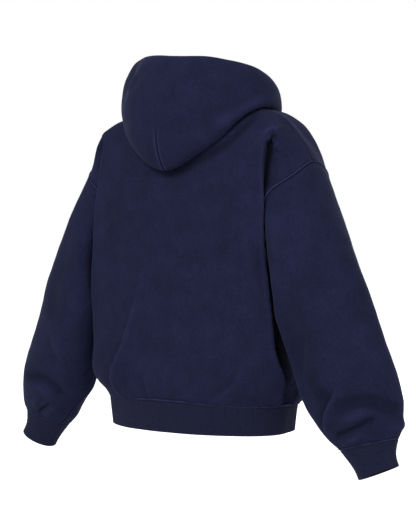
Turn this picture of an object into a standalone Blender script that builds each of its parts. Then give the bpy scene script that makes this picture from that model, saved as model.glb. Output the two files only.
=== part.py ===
"""Zip-up hoodie, worn shape with nobody in it.

The wearer faces -Y, +Z is up and the wearer's left is +X.  The origin is the middle of the neck opening
at the height where the shoulder seams meet the neck.  Every cloth piece is a wall lofted through sections:
a table gives a few named sections, a cubic spline joins them, and the piece is thickened both ways from
that middle surface.  Neighbouring pieces are sampled at the same places along the seam that they share.
"""
from math import atan2, cos, radians, sin

import bmesh
import bpy
import numpy as np

# ---------------------------------------------------------------- driving sizes, in metres
WALL = 0.0028            # brushed fleece
RIB_WALL = 0.0036        # doubled rib of the hem band and the cuffs
TAPE = 0.0008            # woven tape of the zip
SEAM_INSET = 0.0002      # each piece stops this far short of its seam line
MITRE_LIMIT = 0.45       # a wall is stretched to 1 / this at most where two pieces meet sharply
GAP = 0.0003             # clearance between pieces that lie on each other

ZIP_EDGE = 0.0070        # half of the space between the two front edges
CHAIN_HALF = 0.0031      # half width of the closed teeth
CHAIN_DEEP = 0.0024
TAPE_REACH = 0.0160      # from the middle of the zip to the outer edge of a tape
TAPE_CLEAR = 0.0006      # between a tape and the cloth it is sewn to

HEM_HALF_WIDTH = 0.2070  # hem seam, side to side
HEM_HALF_DEPTH = 0.1250  # hem seam, front to back
HEM_MIDDLE_Y = 0.0080
HEM_SQUARENESS = 2.15
HEM_SEAM_Z = -0.5760
HEM_BACK_RISE = 0.0055   # the seam is this much higher at the centre back
HEM_BOTTOM_Z = -0.6320
HEM_TAPER = 0.0060       # the band draws in by this much at its bottom edge
HOOD_LEAN = 0.0075       # the hood is pulled up towards the wearer's left by about this much

# cells along each seam and down each piece
BACK_NECK_CELLS = 6
FRONT_NECK_CELLS = 8
SHOULDER_CELLS = 7
ARMHOLE_CELLS = 10
SIDE_CELLS = 8
SLEEVE_CELLS = 12
CUFF_CELLS = 3
HEM_CELLS = 2
HOOD_CELLS = 14

NAVY = (0.0159, 0.0176, 0.0467)
NAVY_RIB = (0.0152, 0.0168, 0.0369)
GUNMETAL = (0.060, 0.062, 0.070)

# ---------------------------------------------------------------- seam lines of one half, x measured outwards
ARMHOLE = [  # angle (0 top, 90 back, 180 armpit, 270 front), x, y, z
    (0,   0.2590,  0.0100, -0.1120),
    (30,  0.2580,  0.0460, -0.1260),
    (60,  0.2350,  0.0670, -0.1480),
    (90,  0.2010,  0.0780, -0.1770),
    (120, 0.1980,  0.0640, -0.2200),
    (150, 0.2060,  0.0330, -0.2730),
    (180, 0.2140, -0.0040, -0.3080),
    (210, 0.2070, -0.0420, -0.2810),
    (240, 0.1980, -0.0680, -0.2350),
    (270, 0.2080, -0.0800, -0.1900),
    (300, 0.2420, -0.0700, -0.1530),
    (330, 0.2580, -0.0340, -0.1240),
]
SHOULDER = [  # share from neck to armhole, x, y, z
    (0.00, 0.0900, 0.0300,  0.0000),
    (0.30, 0.1450, 0.0260, -0.0100),
    (0.62, 0.2000, 0.0200, -0.0260),
    (0.80, 0.2270, 0.0130, -0.0580),
    (1.00, 0.2590, 0.0100, -0.1120),
]
NECK = [  # share from centre back to zip, x, y, z
    (0.00, 0.0000,  0.0740,  0.0120),
    (0.14, 0.0350,  0.0690,  0.0110),
    (0.28, 0.0670,  0.0550,  0.0070),
    (0.40, 0.0900,  0.0300,  0.0000),
    (0.56, 0.0940, -0.0150, -0.0180),
    (0.72, 0.0790, -0.0600, -0.0450),
    (0.87, 0.0470, -0.0950, -0.0700),
    (1.00, 0.0070, -0.1120, -0.0860),
]
NECK_AT_SHOULDER = 0.40
SIDE_SEAM = [  # share from armpit to hem, x, y, z
    (0.00, 0.2140, -0.0040, -0.3080),
    (0.34, 0.2160,  0.0000, -0.4000),
    (0.64, 0.2200,  0.0020, -0.4800),
    (0.86, 0.2230,  0.0040, -0.5400),
    (1.00, 0.2070,  0.0080, -0.5760),
]
ARMPIT_ROW = 0.52
ROW_TO_ARMHOLE = [  # row of a body panel, angle on the armhole
    (0.00, 0), (0.08, 26), (0.18, 55), (0.29, 86), (0.41, 132), (0.52, 180),
]

# ---------------------------------------------------------------- sections of the back
# Columns: centre, collar, neck, blade, near, fold, tuck.  The last column, the seam, comes from the
# seam lines above.  The fold is the long upright edge beside each arm and the tuck is the hollow past it.
BACK_COLUMNS = (0, 0.15, 0.27, 0.42, 0.55, 0.68, 0.82, 1)
BACK_NECK_SHARE = 0.27
BACK = [  # row, then (x, y, z) in each column
    (0.08, (0, 0.096, -0.035), (0.050, 0.092, -0.037), (0.095, 0.077, -0.041), (0.148, 0.067, -0.038),
           (0.194, 0.059, -0.038), (0.2180, 0.0610, -0.058), (0.2380, 0.050, -0.092)),
    (0.18, (0, 0.112, -0.090), (0.050, 0.110, -0.091), (0.097, 0.105, -0.094), (0.145, 0.097, -0.097),
           (0.178, 0.089, -0.098), (0.2025, 0.0810, -0.098), (0.2220, 0.073, -0.120)),
    (0.29, (0, 0.119, -0.150), (0.050, 0.118, -0.152), (0.098, 0.114, -0.155), (0.147, 0.107, -0.160),
           (0.180, 0.098, -0.163), (0.2020, 0.0885, -0.165), (0.2030, 0.084, -0.170)),
    (0.41, (0, 0.121, -0.215), (0.050, 0.120, -0.217), (0.099, 0.117, -0.220), (0.149, 0.110, -0.223),
           (0.185, 0.101, -0.226), (0.2065, 0.0915, -0.228), (0.1985, 0.077, -0.232)),
    (0.52, (0, 0.122, -0.290), (0.050, 0.121, -0.292), (0.100, 0.118, -0.295), (0.152, 0.111, -0.298),
           (0.190, 0.101, -0.301), (0.2125, 0.0890, -0.303), (0.2055, 0.060, -0.305)),
    (0.68, (0, 0.128, -0.385), (0.050, 0.127, -0.387), (0.102, 0.123, -0.390), (0.157, 0.113, -0.393),
           (0.197, 0.099, -0.396), (0.2197, 0.0800, -0.397), (0.2160, 0.048, -0.399)),
    (0.82, (0, 0.134, -0.475), (0.050, 0.133, -0.476), (0.104, 0.128, -0.477), (0.161, 0.116, -0.478),
           (0.202, 0.096, -0.479), (0.2260, 0.0660, -0.480), (0.2220, 0.036, -0.480)),
    (0.93, (0, 0.137, -0.535), (0.050, 0.136, -0.536), (0.105, 0.131, -0.537), (0.162, 0.117, -0.538),
           (0.203, 0.091, -0.539), (0.2270, 0.0530, -0.540), (0.2260, 0.028, -0.540)),
]

# ---------------------------------------------------------------- sections of one front
# Columns: zip, chest, collar, neck, blade, near, fold, and the seam from the seam lines.
FRONT_COLUMNS = (0, 0.15, 0.30, 0.45, 0.58, 0.70, 0.82, 1)
FRONT_NECK_SHARE = 0.45
FRONT = [  # row, then (x, y, z) in each column
    (0.08, (0.007, -0.119, -0.120), (0.050, -0.112, -0.109), (0.086, -0.090, -0.084), (0.118, -0.062, -0.045),
           (0.162, -0.045, -0.018), (0.208, -0.046, -0.042), (0.2310, -0.0380, -0.080)),
    (0.18, (0.007, -0.126, -0.165), (0.055, -0.122, -0.160), (0.100, -0.111, -0.148), (0.140, -0.100, -0.122),
           (0.178, -0.091, -0.108), (0.213, -0.078, -0.110), (0.2340, -0.0680, -0.127)),
    (0.29, (0.007, -0.131, -0.215), (0.055, -0.129, -0.210), (0.102, -0.122, -0.200), (0.142, -0.111, -0.190),
           (0.170, -0.101, -0.183), (0.192, -0.092, -0.181), (0.2045, -0.0865, -0.185)),
    (0.41, (0.007, -0.132, -0.265), (0.055, -0.131, -0.262), (0.103, -0.126, -0.254), (0.145, -0.117, -0.246),
           (0.173, -0.107, -0.242), (0.194, -0.097, -0.240), (0.2030, -0.0830, -0.238)),
    (0.52, (0.007, -0.130, -0.318), (0.055, -0.130, -0.316), (0.105, -0.127, -0.312), (0.148, -0.119, -0.309),
           (0.178, -0.107, -0.308), (0.200, -0.091, -0.308), (0.2110, -0.0600, -0.308)),
    (0.68, (0.007, -0.127, -0.400), (0.055, -0.128, -0.400), (0.106, -0.126, -0.400), (0.152, -0.119, -0.400),
           (0.184, -0.106, -0.400), (0.206, -0.086, -0.400), (0.2170, -0.0500, -0.400)),
    (0.82, (0.007, -0.127, -0.480), (0.055, -0.130, -0.480), (0.107, -0.130, -0.480), (0.155, -0.123, -0.480),
           (0.189, -0.109, -0.480), (0.212, -0.085, -0.480), (0.2230, -0.0460, -0.480)),
    (0.93, (0.007, -0.125, -0.540), (0.055, -0.132, -0.540), (0.107, -0.133, -0.540), (0.155, -0.125, -0.540),
           (0.190, -0.109, -0.540), (0.213, -0.083, -0.540), (0.2250, -0.0440, -0.540)),
]

# ---------------------------------------------------------------- rings of the left sleeve and cuff
SLEEVE = [  # row, centre x, y, z, half breadth, half depth, turn of the outer edge forwards, tilt
    (0.00, 0.2300, 0.0080, -0.2150, 0.098, 0.079, 12, 38),
    (0.18, 0.2680, 0.0250, -0.2820, 0.086, 0.073, 24, 24),
    (0.36, 0.2980, 0.0360, -0.3640, 0.086, 0.064, 29, 19),
    (0.52, 0.3180, 0.0380, -0.4230, 0.089, 0.059, 27, 19),
    (0.68, 0.3395, 0.0360, -0.4900, 0.091, 0.058, 23, 19),
    (0.82, 0.3640, 0.0320, -0.5480, 0.088, 0.060, 18, 19),
    (0.91, 0.3800, 0.0290, -0.5870, 0.078, 0.054, 16, 18),
    (0.96, 0.3880, 0.0260, -0.6140, 0.068, 0.046, 12, 16),
    (1.00, 0.3930, 0.0251, -0.6340, 0.055, 0.037, 8, 14),
]
ARMHOLE_FADE = 0.42      # by this row the sleeve has turned from the armhole's shape into its rings
CORNER_SWELL = 0.012     # the sleeve's back inner corner stands out by this much beside the body's fold
UNDERARM_ROOM = 0.013    # under the arm the sleeve first turns away from the body by this much
CUFF = [  # row, centre x, y, z, half breadth, half depth, turn, tilt
    (0.00, 0.3930, 0.0251, -0.6340, 0.055, 0.0370, 8, 14),
    (0.35, 0.4030, 0.0270, -0.6570, 0.043, 0.0315, 6, 20),
    (1.00, 0.4174, 0.0300, -0.6855, 0.038, 0.0300, 4, 23),
]

# ---------------------------------------------------------------- profiles of the hood, lying down the back
# Columns after the neck seam: stand, under leaf, bottom fold, bulge, high, ridge, roll, rim.
HOOD_COLUMNS = (0, 0.07, 0.20, 0.36, 0.47, 0.58, 0.74, 0.88, 1)
HOOD = [  # plan angle from the centre back, then (distance from the middle, z) in each column
    (0,   (0.080,  0.029), (0.112, -0.020), (0.1350, -0.1215), (0.1620, -0.088), (0.1700, -0.020),
          (0.1580,  0.050), (0.1200,  0.096), (0.098,  0.072)),
    (25,  (0.082,  0.028), (0.114, -0.018), (0.1355, -0.0950), (0.1600, -0.072), (0.1690, -0.010),
          (0.1570,  0.052), (0.1230,  0.096), (0.102,  0.072)),
    (50,  (0.090,  0.025), (0.120,  0.000), (0.1440, -0.0480), (0.1610, -0.030), (0.1640,  0.015),
          (0.1540,  0.060), (0.1290,  0.091), (0.108,  0.068)),
    (75,  (0.099,  0.016), (0.128,  0.009), (0.1600, -0.0055), (0.1680,  0.007), (0.1630,  0.031),
          (0.1510,  0.064), (0.1300,  0.079), (0.112,  0.058)),
    (100, (0.099,  0.006), (0.128,  0.006), (0.1540, -0.0020), (0.1610,  0.009), (0.1580,  0.029),
          (0.1480,  0.051), (0.1310,  0.060), (0.116,  0.045)),
    (125, (0.108, -0.022), (0.126, -0.018), (0.1410, -0.0210), (0.1460, -0.010), (0.1445,  0.006),
          (0.1365,  0.020), (0.1250,  0.025), (0.114,  0.015)),
    (150, (0.114, -0.056), (0.120, -0.052), (0.1245, -0.0500), (0.1260, -0.043), (0.1250, -0.034),
          (0.1210, -0.026), (0.1155, -0.023), (0.109, -0.027)),
    (176, (0.113, -0.081), (0.114, -0.076), (0.1145, -0.0710), (0.1145, -0.067), (0.1140, -0.063),
          (0.1130, -0.059), (0.1115, -0.056), (0.110, -0.053)),
]

# ---------------------------------------------------------------- slider, pull tab, stops and retainer box
SLIDER_WIDE = 0.0092
SLIDER_LONG = 0.0110
PLATE = 0.0011           # one of the slider's two plates
CHANNEL_HALF = CHAIN_DEEP / 2 + GAP
CHANNEL_WIDE = 0.0072
SLOT_HALF = TAPE / 2 + GAP
SLOT_DEEP = 0.0040
CUTTER_OVERRUN = 0.0010
CUTTER_LAP = 0.0001
WEDGE_WIDE = 0.0024
WEDGE_FROM = 0.0020      # above the slider's middle; the teeth stop below it
BRIDGE_WIDE = 0.0018
BRIDGE_INNER = 0.0011
BRIDGE_OUTER = 0.0023
PIN_HEIGHT = 0.0012      # of the tab's pin above the front plate
TAB_WIDE = 0.0060
TAB_LONG = 0.0240
TAB_THICK = 0.0011
TAB_EYE_WIDE = 0.0027
TAB_EYE_LONG = 0.0070
STOP_WIDE = 0.0017
STOP_LONG = 0.0026
SLIDER_BELOW_NECK = 0.0110
BOX_WIDE = 0.0090
BOX_LONG = 0.0080
BOX_DEEP = 0.0023
BOX_ABOVE_END = 0.0005   # the box stops this far above the bottom of the hem band


# ---------------------------------------------------------------- splines
def spline_weights(knots, places, period=None):
    """Weights that a cubic spline through the knots gives each knot's value, one row for each place."""
    knots = np.asarray(knots, float)
    places = np.atleast_1d(np.asarray(places, float))
    count = len(knots)
    left = np.zeros((count, count))
    right = np.zeros((count, count))
    if period is None:
        step = np.append(np.diff(knots), 1.0)
        inner = range(1, count - 1)
        left[0, 0] = left[-1, -1] = 1.0
    else:
        step = np.append(np.diff(knots), knots[0] + period - knots[-1])
        inner = range(count)
        places = (places - knots[0]) % period + knots[0]
    for i in inner:
        before, after = (i - 1) % count, (i + 1) % count
        left[i, before] += step[before]
        left[i, i] += 2 * (step[before] + step[i])
        left[i, after] += step[i]
        right[i, before] += 6 / step[before]
        right[i, i] -= 6 / step[before] + 6 / step[i]
        right[i, after] += 6 / step[i]
    bend = np.linalg.solve(left, right)
    last = count - 1 if period else count - 2
    i = np.clip(np.searchsorted(knots, places, side="right") - 1, 0, last)
    j = (i + 1) % count
    h = step[i][:, None]
    from_i = places[:, None] - knots[i][:, None]
    to_j = h - from_i
    unit = np.eye(count)
    return (to_j ** 3 / (6 * h) * bend[i] + from_i ** 3 / (6 * h) * bend[j]
            + to_j / h * unit[i] + from_i / h * unit[j]
            - h * to_j / 6 * bend[i] - h * from_i / 6 * bend[j])


def along(table, places, period=None):
    """Values of a table's columns at the given places of its first column."""
    rows = np.array(table, float)
    return spline_weights(rows[:, 0], places, period) @ rows[:, 1:]


def ease(x):
    """0 up to 0, 1 from 1 on, smooth between."""
    x = np.clip(x, 0, 1)
    return x * x * (3 - 2 * x)


def swell(x, middle, reach):
    return np.exp(-((x - middle) / reach) ** 2)


def unit_vectors(v):
    return v / np.maximum(np.linalg.norm(v, axis=-1, keepdims=True), 1e-12)


# ---------------------------------------------------------------- seam lines
def armhole_line(degrees):
    return along(ARMHOLE, degrees, period=360)


def shoulder_line(share):
    return along(SHOULDER, share)


def neck_line(share):
    rows = np.array(NECK)
    other_side = rows[:0:-1] * (-1, -1, 1, 1)
    return along(np.vstack([other_side, rows]), share)


def row_angles(rows):
    return along(ROW_TO_ARMHOLE, np.minimum(rows, ARMPIT_ROW))[:, 0]


def side_line(rows, face):
    """Outer edge of a body panel: the armhole down to the armpit, then the side seam."""
    rows = np.atleast_1d(rows)
    arm = armhole_line(face * row_angles(rows))
    below = along(SIDE_SEAM, np.clip((rows - ARMPIT_ROW) / (1 - ARMPIT_ROW), 0, 1))
    return np.where((rows <= ARMPIT_ROW)[:, None], arm, below)


def hem_outline(degrees, draw_in=0.0):
    """Points round the hem; 0 is the centre back, 90 the side and 180 the centre front."""
    t = np.radians(degrees)
    power = 2 / HEM_SQUARENESS
    x = np.sign(np.sin(t)) * (HEM_HALF_WIDTH - draw_in) * np.abs(np.sin(t)) ** power
    y = HEM_MIDDLE_Y + np.sign(np.cos(t)) * (HEM_HALF_DEPTH - draw_in) * np.abs(np.cos(t)) ** power
    return x, y


def hem_seam_height(degrees):
    back = np.maximum(np.cos(np.radians(degrees)), 0)
    return HEM_SEAM_Z + HEM_BACK_RISE * back ** 3


def hem_degrees(share, face):
    """Angle on the hem of a panel's column, so that the columns are evenly spaced along the seam."""
    fine = np.linspace(0, 90, 400)
    x, y = hem_outline(fine)
    run = np.append(0, np.cumsum(np.hypot(np.diff(x), np.diff(y))))
    if face > 0:
        return np.interp(np.asarray(share) * run[-1], run, fine)
    return 180 - np.interp(ZIP_EDGE + np.asarray(share) * (run[-1] - ZIP_EDGE), run, fine)


def hem_line(share, face):
    degrees = hem_degrees(share, face)
    x, y = hem_outline(degrees)
    return np.stack([x, y, hem_seam_height(degrees)], -1)


def top_line(share, face):
    """Top edge of a body panel: along the neck, then along the shoulder."""
    share = np.asarray(share, float)
    split = BACK_NECK_SHARE if face > 0 else FRONT_NECK_SHARE
    on_neck = np.clip(share / split, 0, 1)
    if face > 0:
        neck = neck_line(on_neck * NECK_AT_SHOULDER)
    else:
        neck = neck_line(1 - on_neck * (1 - NECK_AT_SHOULDER))
    shoulder = shoulder_line(np.clip((share - split) / (1 - split), 0, 1))
    return np.where((share <= split)[:, None], neck, shoulder)


# ---------------------------------------------------------------- middle surfaces
def body_panel(columns, table, face, u, v):
    """Back (face 1, u from -1 to 1) or one front (face -1, u from 0 to 1) on its exact seam lines."""
    rows = [0] + [row[0] for row in table] + [1]
    net = [top_line(np.array(columns), face)]
    for row in table:
        net.append(np.vstack([row[1:], side_line(row[0], face)]))
    net.append(hem_line(np.array(columns), face))
    net = np.array(net)
    columns = np.array(columns, float)
    if face > 0:
        net = np.concatenate([net[:, :0:-1] * (-1, 1, 1), net], 1)
        columns = np.concatenate([-columns[:0:-1], columns])

    def loft(v, u):
        return np.einsum("vi,ijk,uj->vuk", spline_weights(rows, v), net, spline_weights(columns, u))

    mirror = np.where(u < 0, -1.0, 1.0)[:, None] * (1, 0, 0) + (0, 1, 1)
    points = loft(v, u)
    to_top = top_line(np.abs(u), face) * mirror - loft([0], u)[0]
    to_hem = hem_line(np.abs(u), face) * mirror - loft([1], u)[0]
    near_top = ease(1 - v / 0.09)[:, None]
    near_hem = ease((v - 0.90) / 0.10)[:, None]
    points += near_top[:, :, None] * to_top + near_hem[:, :, None] * to_hem
    for sign in (1, -1) if face > 0 else (1,):
        edge = loft(v, [sign])[:, 0] + near_top * to_top[u == sign] + near_hem * to_hem[u == sign]
        to_side = side_line(v, face) * (sign, 1, 1) - edge
        near_side = ease((np.abs(u) - 0.80) / 0.20) * (np.sign(u) == sign)
        points += near_side[None, :, None] * to_side[:, None]
    return points


def rings(table, rows, degrees):
    """Tilted, turned ellipses about a limb, one for each row; an angle keeps its side as they turn."""
    x, y, z, broad, deep, turn, tilt = along(table, rows).T[:, :, None]
    t = np.radians(degrees + turn)
    turn, tilt = np.radians(turn), np.radians(tilt)
    outwards = broad * np.cos(t) * np.cos(turn) + deep * np.sin(t) * np.sin(turn)
    backwards = deep * np.sin(t) * np.cos(turn) - broad * np.cos(t) * np.sin(turn)
    return np.stack([x + outwards * np.cos(tilt), y + backwards, z + outwards * np.sin(tilt)], -1)


def sleeve_surface(rows, degrees):
    """Left sleeve: the armhole's own shape turns into rings on the way down."""
    points = rings(SLEEVE, rows, degrees)
    from_ring = armhole_line(degrees) - rings(SLEEVE, [0], degrees)[0]
    points += ease(1 - rows / ARMHOLE_FADE)[:, None, None] * from_ring
    outwards = unit_vectors(points - points.mean(1, keepdims=True))
    corner = (ease(rows / 0.30) * ease((0.80 - rows) / 0.45))[:, None] * swell(degrees, 128, 30)[None]
    points += CORNER_SWELL * corner[:, :, None] * outwards
    underarm = (ease(rows / 0.09) * ease((0.40 - rows) / 0.30))[:, None] * swell(degrees, 160, 40)[None]
    points[:, :, 0] += UNDERARM_ROOM * underarm
    return points


def hem_band_surface(rows, degrees):
    points = []
    for row in rows:
        x, y = hem_outline(degrees, HEM_TAPER * row)
        z = hem_seam_height(degrees) * (1 - row) + HEM_BOTTOM_Z * row
        points.append(np.stack([x, y, z], -1))
    return np.array(points)


def neck_at_angle(degrees):
    """Point of the neck seam in a plan direction from the centre back."""
    share = np.linspace(0, 1, 201)
    line = neck_line(share)
    angle = np.degrees(np.arctan2(line[:, 0], line[:, 1]))
    point = neck_line(np.interp(np.abs(degrees), angle, share))
    return point * np.stack([np.where(degrees < 0, -1, 1), np.ones_like(degrees), np.ones_like(degrees)], -1)


def hood_surface(rows, degrees):
    """The hood from its neck seam, over and down to the bottom fold, up again and rolled in at the rim."""
    angles = np.array([profile[0] for profile in HOOD], float)
    seam = neck_at_angle(angles)
    net = []
    for profile, start in zip(HOOD, seam):
        a = radians(profile[0])
        net.append([start] + [(r * sin(a), r * cos(a), z) for r, z in profile[1:]])
    net = np.array(net)
    net = np.concatenate([net[:0:-1] * (-1, 1, 1), net])
    angles = np.concatenate([-angles[:0:-1], angles])
    across = spline_weights(angles, degrees)
    points = np.einsum("pi,ijk,wj->wpk", across, net, spline_weights(HOOD_COLUMNS, rows))
    to_seam = neck_at_angle(degrees) - across @ net[:, 0]
    points += ease(1 - rows / 0.10)[:, None, None] * to_seam
    turn = np.radians(degrees)
    lean = HOOD_LEAN * np.sin(turn) * (1 + np.cos(turn)) / 2
    points[:, :, 2] += ease((rows - 0.15) / 0.20)[:, None] * lean
    return points


# ---------------------------------------------------------------- sampling that neighbours share
def shoulder_columns(split):
    return split + (1 - split) * np.linspace(0, 1, SHOULDER_CELLS + 1)


HALF_BACK = np.concatenate([np.linspace(0, BACK_NECK_SHARE, BACK_NECK_CELLS + 1)[:-1],
                            shoulder_columns(BACK_NECK_SHARE)])
BACK_U = np.concatenate([-HALF_BACK[:0:-1], HALF_BACK])
FRONT_U = np.concatenate([np.linspace(0, FRONT_NECK_SHARE, FRONT_NECK_CELLS + 1)[:-1],
                          shoulder_columns(FRONT_NECK_SHARE)])
ARM_ROWS = np.linspace(0, ARMPIT_ROW, ARMHOLE_CELLS + 1)
BODY_ROWS = np.concatenate([ARM_ROWS[:-1], np.linspace(ARMPIT_ROW, 1, SIDE_CELLS + 1)])
ARM_ANGLES = row_angles(ARM_ROWS)
SLEEVE_DEGREES = np.concatenate([ARM_ANGLES[:-1], (360 - ARM_ANGLES)[:0:-1]])


def neck_degrees():
    """Plan angles of the neck seam's samples, from the left end of the hood round to the right."""
    back = neck_line(np.linspace(0, NECK_AT_SHOULDER, BACK_NECK_CELLS + 1))
    front = neck_line(np.linspace(NECK_AT_SHOULDER, 1, FRONT_NECK_CELLS + 1))
    half = np.vstack([back, front[1:]])
    angle = np.degrees(np.arctan2(half[:, 0], half[:, 1]))
    return np.concatenate([-angle[:0:-1], angle])


def hem_band_degrees():
    half = np.concatenate([hem_degrees(HALF_BACK, 1), hem_degrees(FRONT_U, -1)[-2::-1]])
    return np.concatenate([-half[:0:-1], half])


# ---------------------------------------------------------------- walls
def normals(points, closed):
    """Unit normals of a grid of points, pointing the way that u x v points."""
    if closed:
        wide = np.concatenate([points[:, -1:], points, points[:, :1]], 1)
        du = wide[:, 2:] - wide[:, :-2]
    else:
        du = np.gradient(points, axis=1)
    dv = np.gradient(points, axis=0)
    return unit_vectors(np.cross(dv, du))


class Cloth:
    """A piece of cloth as a grid of points on its middle surface, with the direction of its thickness."""

    def __init__(self, name, points, thick, material, outwards, closed=False):
        self.name = name
        self.points = points
        self.thick = thick
        self.material = material
        self.closed = closed
        self.outwards = outwards
        self.across = outwards * normals(points, closed)

    def edge_cells(self):
        """Row and column of each edge point, with the steps that lead from it into the piece."""
        rows, columns = self.points.shape[:2]
        cells = []
        for i in range(rows):
            for j in range(columns):
                steps = []
                if i in (0, rows - 1):
                    steps.append((1 if i == 0 else -1, 0))
                if j in (0, columns - 1) and not self.closed:
                    steps.append((0, 1 if j == 0 else -1))
                if steps:
                    cells.append((i, j, steps))
        return cells

    def inwards(self, i, j, steps):
        """Unit direction from an edge point into the piece, square to the edge except at a corner."""
        start = self.points[i, j]
        way = sum(unit_vectors(self.points[i + di, j + dj] - start) for di, dj in steps)
        if len(steps) == 1:
            if steps[0][0]:
                edge = self.points[i, (j + 1) % self.points.shape[1]] - self.points[i, j - 1]
            else:
                edge = self.points[i + 1, j] - self.points[i - 1, j]
            edge = unit_vectors(edge)
            way = way - (way @ edge) * edge
        return unit_vectors(way)


def squarest(directions):
    """The direction that makes its widest angle with the given ones as small as it can be."""
    way = sum(directions)
    for _ in range(80):
        furthest = min(directions, key=lambda d: d @ way)
        way = unit_vectors(unit_vectors(way) + 0.05 * furthest)
    return way


def share_seam_directions(pieces):
    """Join the walls of neighbours as a mitre does, then leave a fine gap along each seam.

    Where two pieces meet, both are thickened along the line that halves the angle between them, and a
    little more where that angle is sharp.  A corner is thickened as squarely to all of its pieces as it can be.
    """
    meeting = {}
    for piece in pieces:
        for i, j, steps in piece.edge_cells():
            key = tuple(np.round(piece.points[i, j] / 1e-5).astype(int))
            meeting.setdefault(key, []).append((piece, i, j, len(steps), piece.inwards(i, j, steps)))
    for group in meeting.values():
        if len(group) == 1:
            continue
        facing = [piece.across[i, j].copy() for piece, i, j, _, _ in group]
        apart = [inwards for *_, inwards in group]
        if len(group) == 2:
            both = apart[0] + apart[1]
            apart = [unit_vectors(apart[0] - apart[1]), unit_vectors(apart[1] - apart[0])]
        if len(group) == 2 and group[0][3] == 1:
            way = sum(facing)
            way = unit_vectors(way + both * (1 if way @ both >= 0 else -1))
        else:
            way = squarest(facing)
        stretch = 1 / max(min(face @ way for face in facing), MITRE_LIMIT)
        for (piece, i, j, _, _), away in zip(group, apart):
            piece.across[i, j] = stretch * way
            piece.points[i, j] += SEAM_INSET * away


def wall_object(piece, collection):
    """Solid wall: the outer face, the inner face and the rims between them."""
    rows, columns = piece.points.shape[:2]
    half = piece.thick / 2 * piece.across
    outer = (piece.points + half).reshape(-1, 3)
    inner = (piece.points - half).reshape(-1, 3)
    count = rows * columns
    faces = []
    last = columns if piece.closed else columns - 1
    for i in range(rows - 1):
        for j in range(last):
            k = (j + 1) % columns
            quad = (i * columns + j, i * columns + k, (i + 1) * columns + k, (i + 1) * columns + j)
            faces.append(quad)
            faces.append(tuple(count + q for q in reversed(quad)))
    rims = []
    for j in range(last):
        k = (j + 1) % columns
        rims.append((k, j))
        rims.append(((rows - 1) * columns + j, (rows - 1) * columns + k))
    if not piece.closed:
        for i in range(rows - 1):
            rims.append((i * columns, (i + 1) * columns))
            rims.append(((i + 2) * columns - 1, (i + 1) * columns - 1))
    faces += [(a, b, count + b, count + a) for a, b in rims]
    mesh = bpy.data.meshes.new(piece.name)
    mesh.from_pydata(np.vstack([outer, inner]).tolist(), [], faces)
    shape = bmesh.new()
    shape.from_mesh(mesh)
    bmesh.ops.triangulate(shape, faces=shape.faces[:])
    if shape.calc_volume(signed=True) < 0:
        bmesh.ops.reverse_faces(shape, faces=shape.faces[:])
    shape.to_mesh(mesh)
    shape.free()
    mesh.shade_smooth()
    mesh.set_sharp_from_angle(angle=radians(50))
    mesh.materials.append(piece.material)
    placed = bpy.data.objects.new(piece.name, mesh)
    collection.objects.link(placed)
    return placed


def mirrored(name, piece):
    """The other side's copy of a piece."""
    return Cloth(name, piece.points * (-1, 1, 1), piece.thick, piece.material, -piece.outwards, piece.closed)


# ---------------------------------------------------------------- small hard parts
def new_material(name, colour, roughness, metallic=0.0):
    material = bpy.data.materials.new(name)
    material.use_nodes = True
    shader = material.node_tree.nodes["Principled BSDF"]
    shader.inputs["Base Color"].default_value = (*colour, 1)
    shader.inputs["Roughness"].default_value = roughness
    shader.inputs["Metallic"].default_value = metallic
    material.diffuse_color = (*colour, 1)
    return material


def mesh_object(name, shape, collection, parent):
    mesh = bpy.data.meshes.new(name)
    shape.to_mesh(mesh)
    shape.free()
    placed = bpy.data.objects.new(name, mesh)
    placed.parent = parent
    collection.objects.link(placed)
    return placed


def block(name, size, centre, collection, parent):
    shape = bmesh.new()
    bmesh.ops.create_cube(shape, size=1.0)
    bmesh.ops.scale(shape, vec=size, verts=shape.verts)
    bmesh.ops.translate(shape, vec=centre, verts=shape.verts)
    return mesh_object(name, shape, collection, parent)


def round_bar(name, radius, length, centre, collection, parent):
    """Cylinder along X."""
    shape = bmesh.new()
    bmesh.ops.create_cone(shape, cap_ends=True, segments=24, radius1=radius, radius2=radius, depth=length)
    for vert in shape.verts:
        vert.co = (vert.co.z, vert.co.y, -vert.co.x)
    bmesh.ops.translate(shape, vec=centre, verts=shape.verts)
    return mesh_object(name, shape, collection, parent)


def cut_or_join(target, tool, operation):
    modifier = target.modifiers.new(operation.lower(), "BOOLEAN")
    modifier.operation = operation
    modifier.object = tool
    tool.hide_render = True
    tool.display_type = "WIRE"


def finish_edges(target, width, angle=40):
    bevel = target.modifiers.new("soft edges", "BEVEL")
    bevel.width = width
    bevel.segments = 1
    bevel.limit_method = "ANGLE"
    bevel.angle_limit = radians(angle)


# ---------------------------------------------------------------- the pieces
def cloth_pieces(fleece, rib):
    back = body_panel(BACK_COLUMNS, BACK, 1, BACK_U, BODY_ROWS)
    front = body_panel(FRONT_COLUMNS, FRONT, -1, FRONT_U, BODY_ROWS)
    sleeve = sleeve_surface(np.linspace(0, 1, SLEEVE_CELLS + 1), SLEEVE_DEGREES)
    cuff = rings(CUFF, np.linspace(0, 1, CUFF_CELLS + 1), SLEEVE_DEGREES)
    band = hem_band_surface(np.linspace(0, 1, HEM_CELLS + 1), hem_band_degrees())
    hood = hood_surface(np.linspace(0, 1, HOOD_CELLS + 1), neck_degrees())
    left = [
        Cloth("front_left", front, WALL, fleece, 1),
        Cloth("sleeve_left", sleeve, WALL, fleece, 1, closed=True),
        Cloth("cuff_left", cuff, RIB_WALL, rib, 1, closed=True),
    ]
    right = [mirrored(piece.name.replace("left", "right"), piece) for piece in left]
    middle = [
        Cloth("back", back, WALL, fleece, -1),
        Cloth("hem_band", band, RIB_WALL, rib, -1),
        Cloth("hood", hood, WALL, fleece, 1),
    ]
    return middle + left + right


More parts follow.
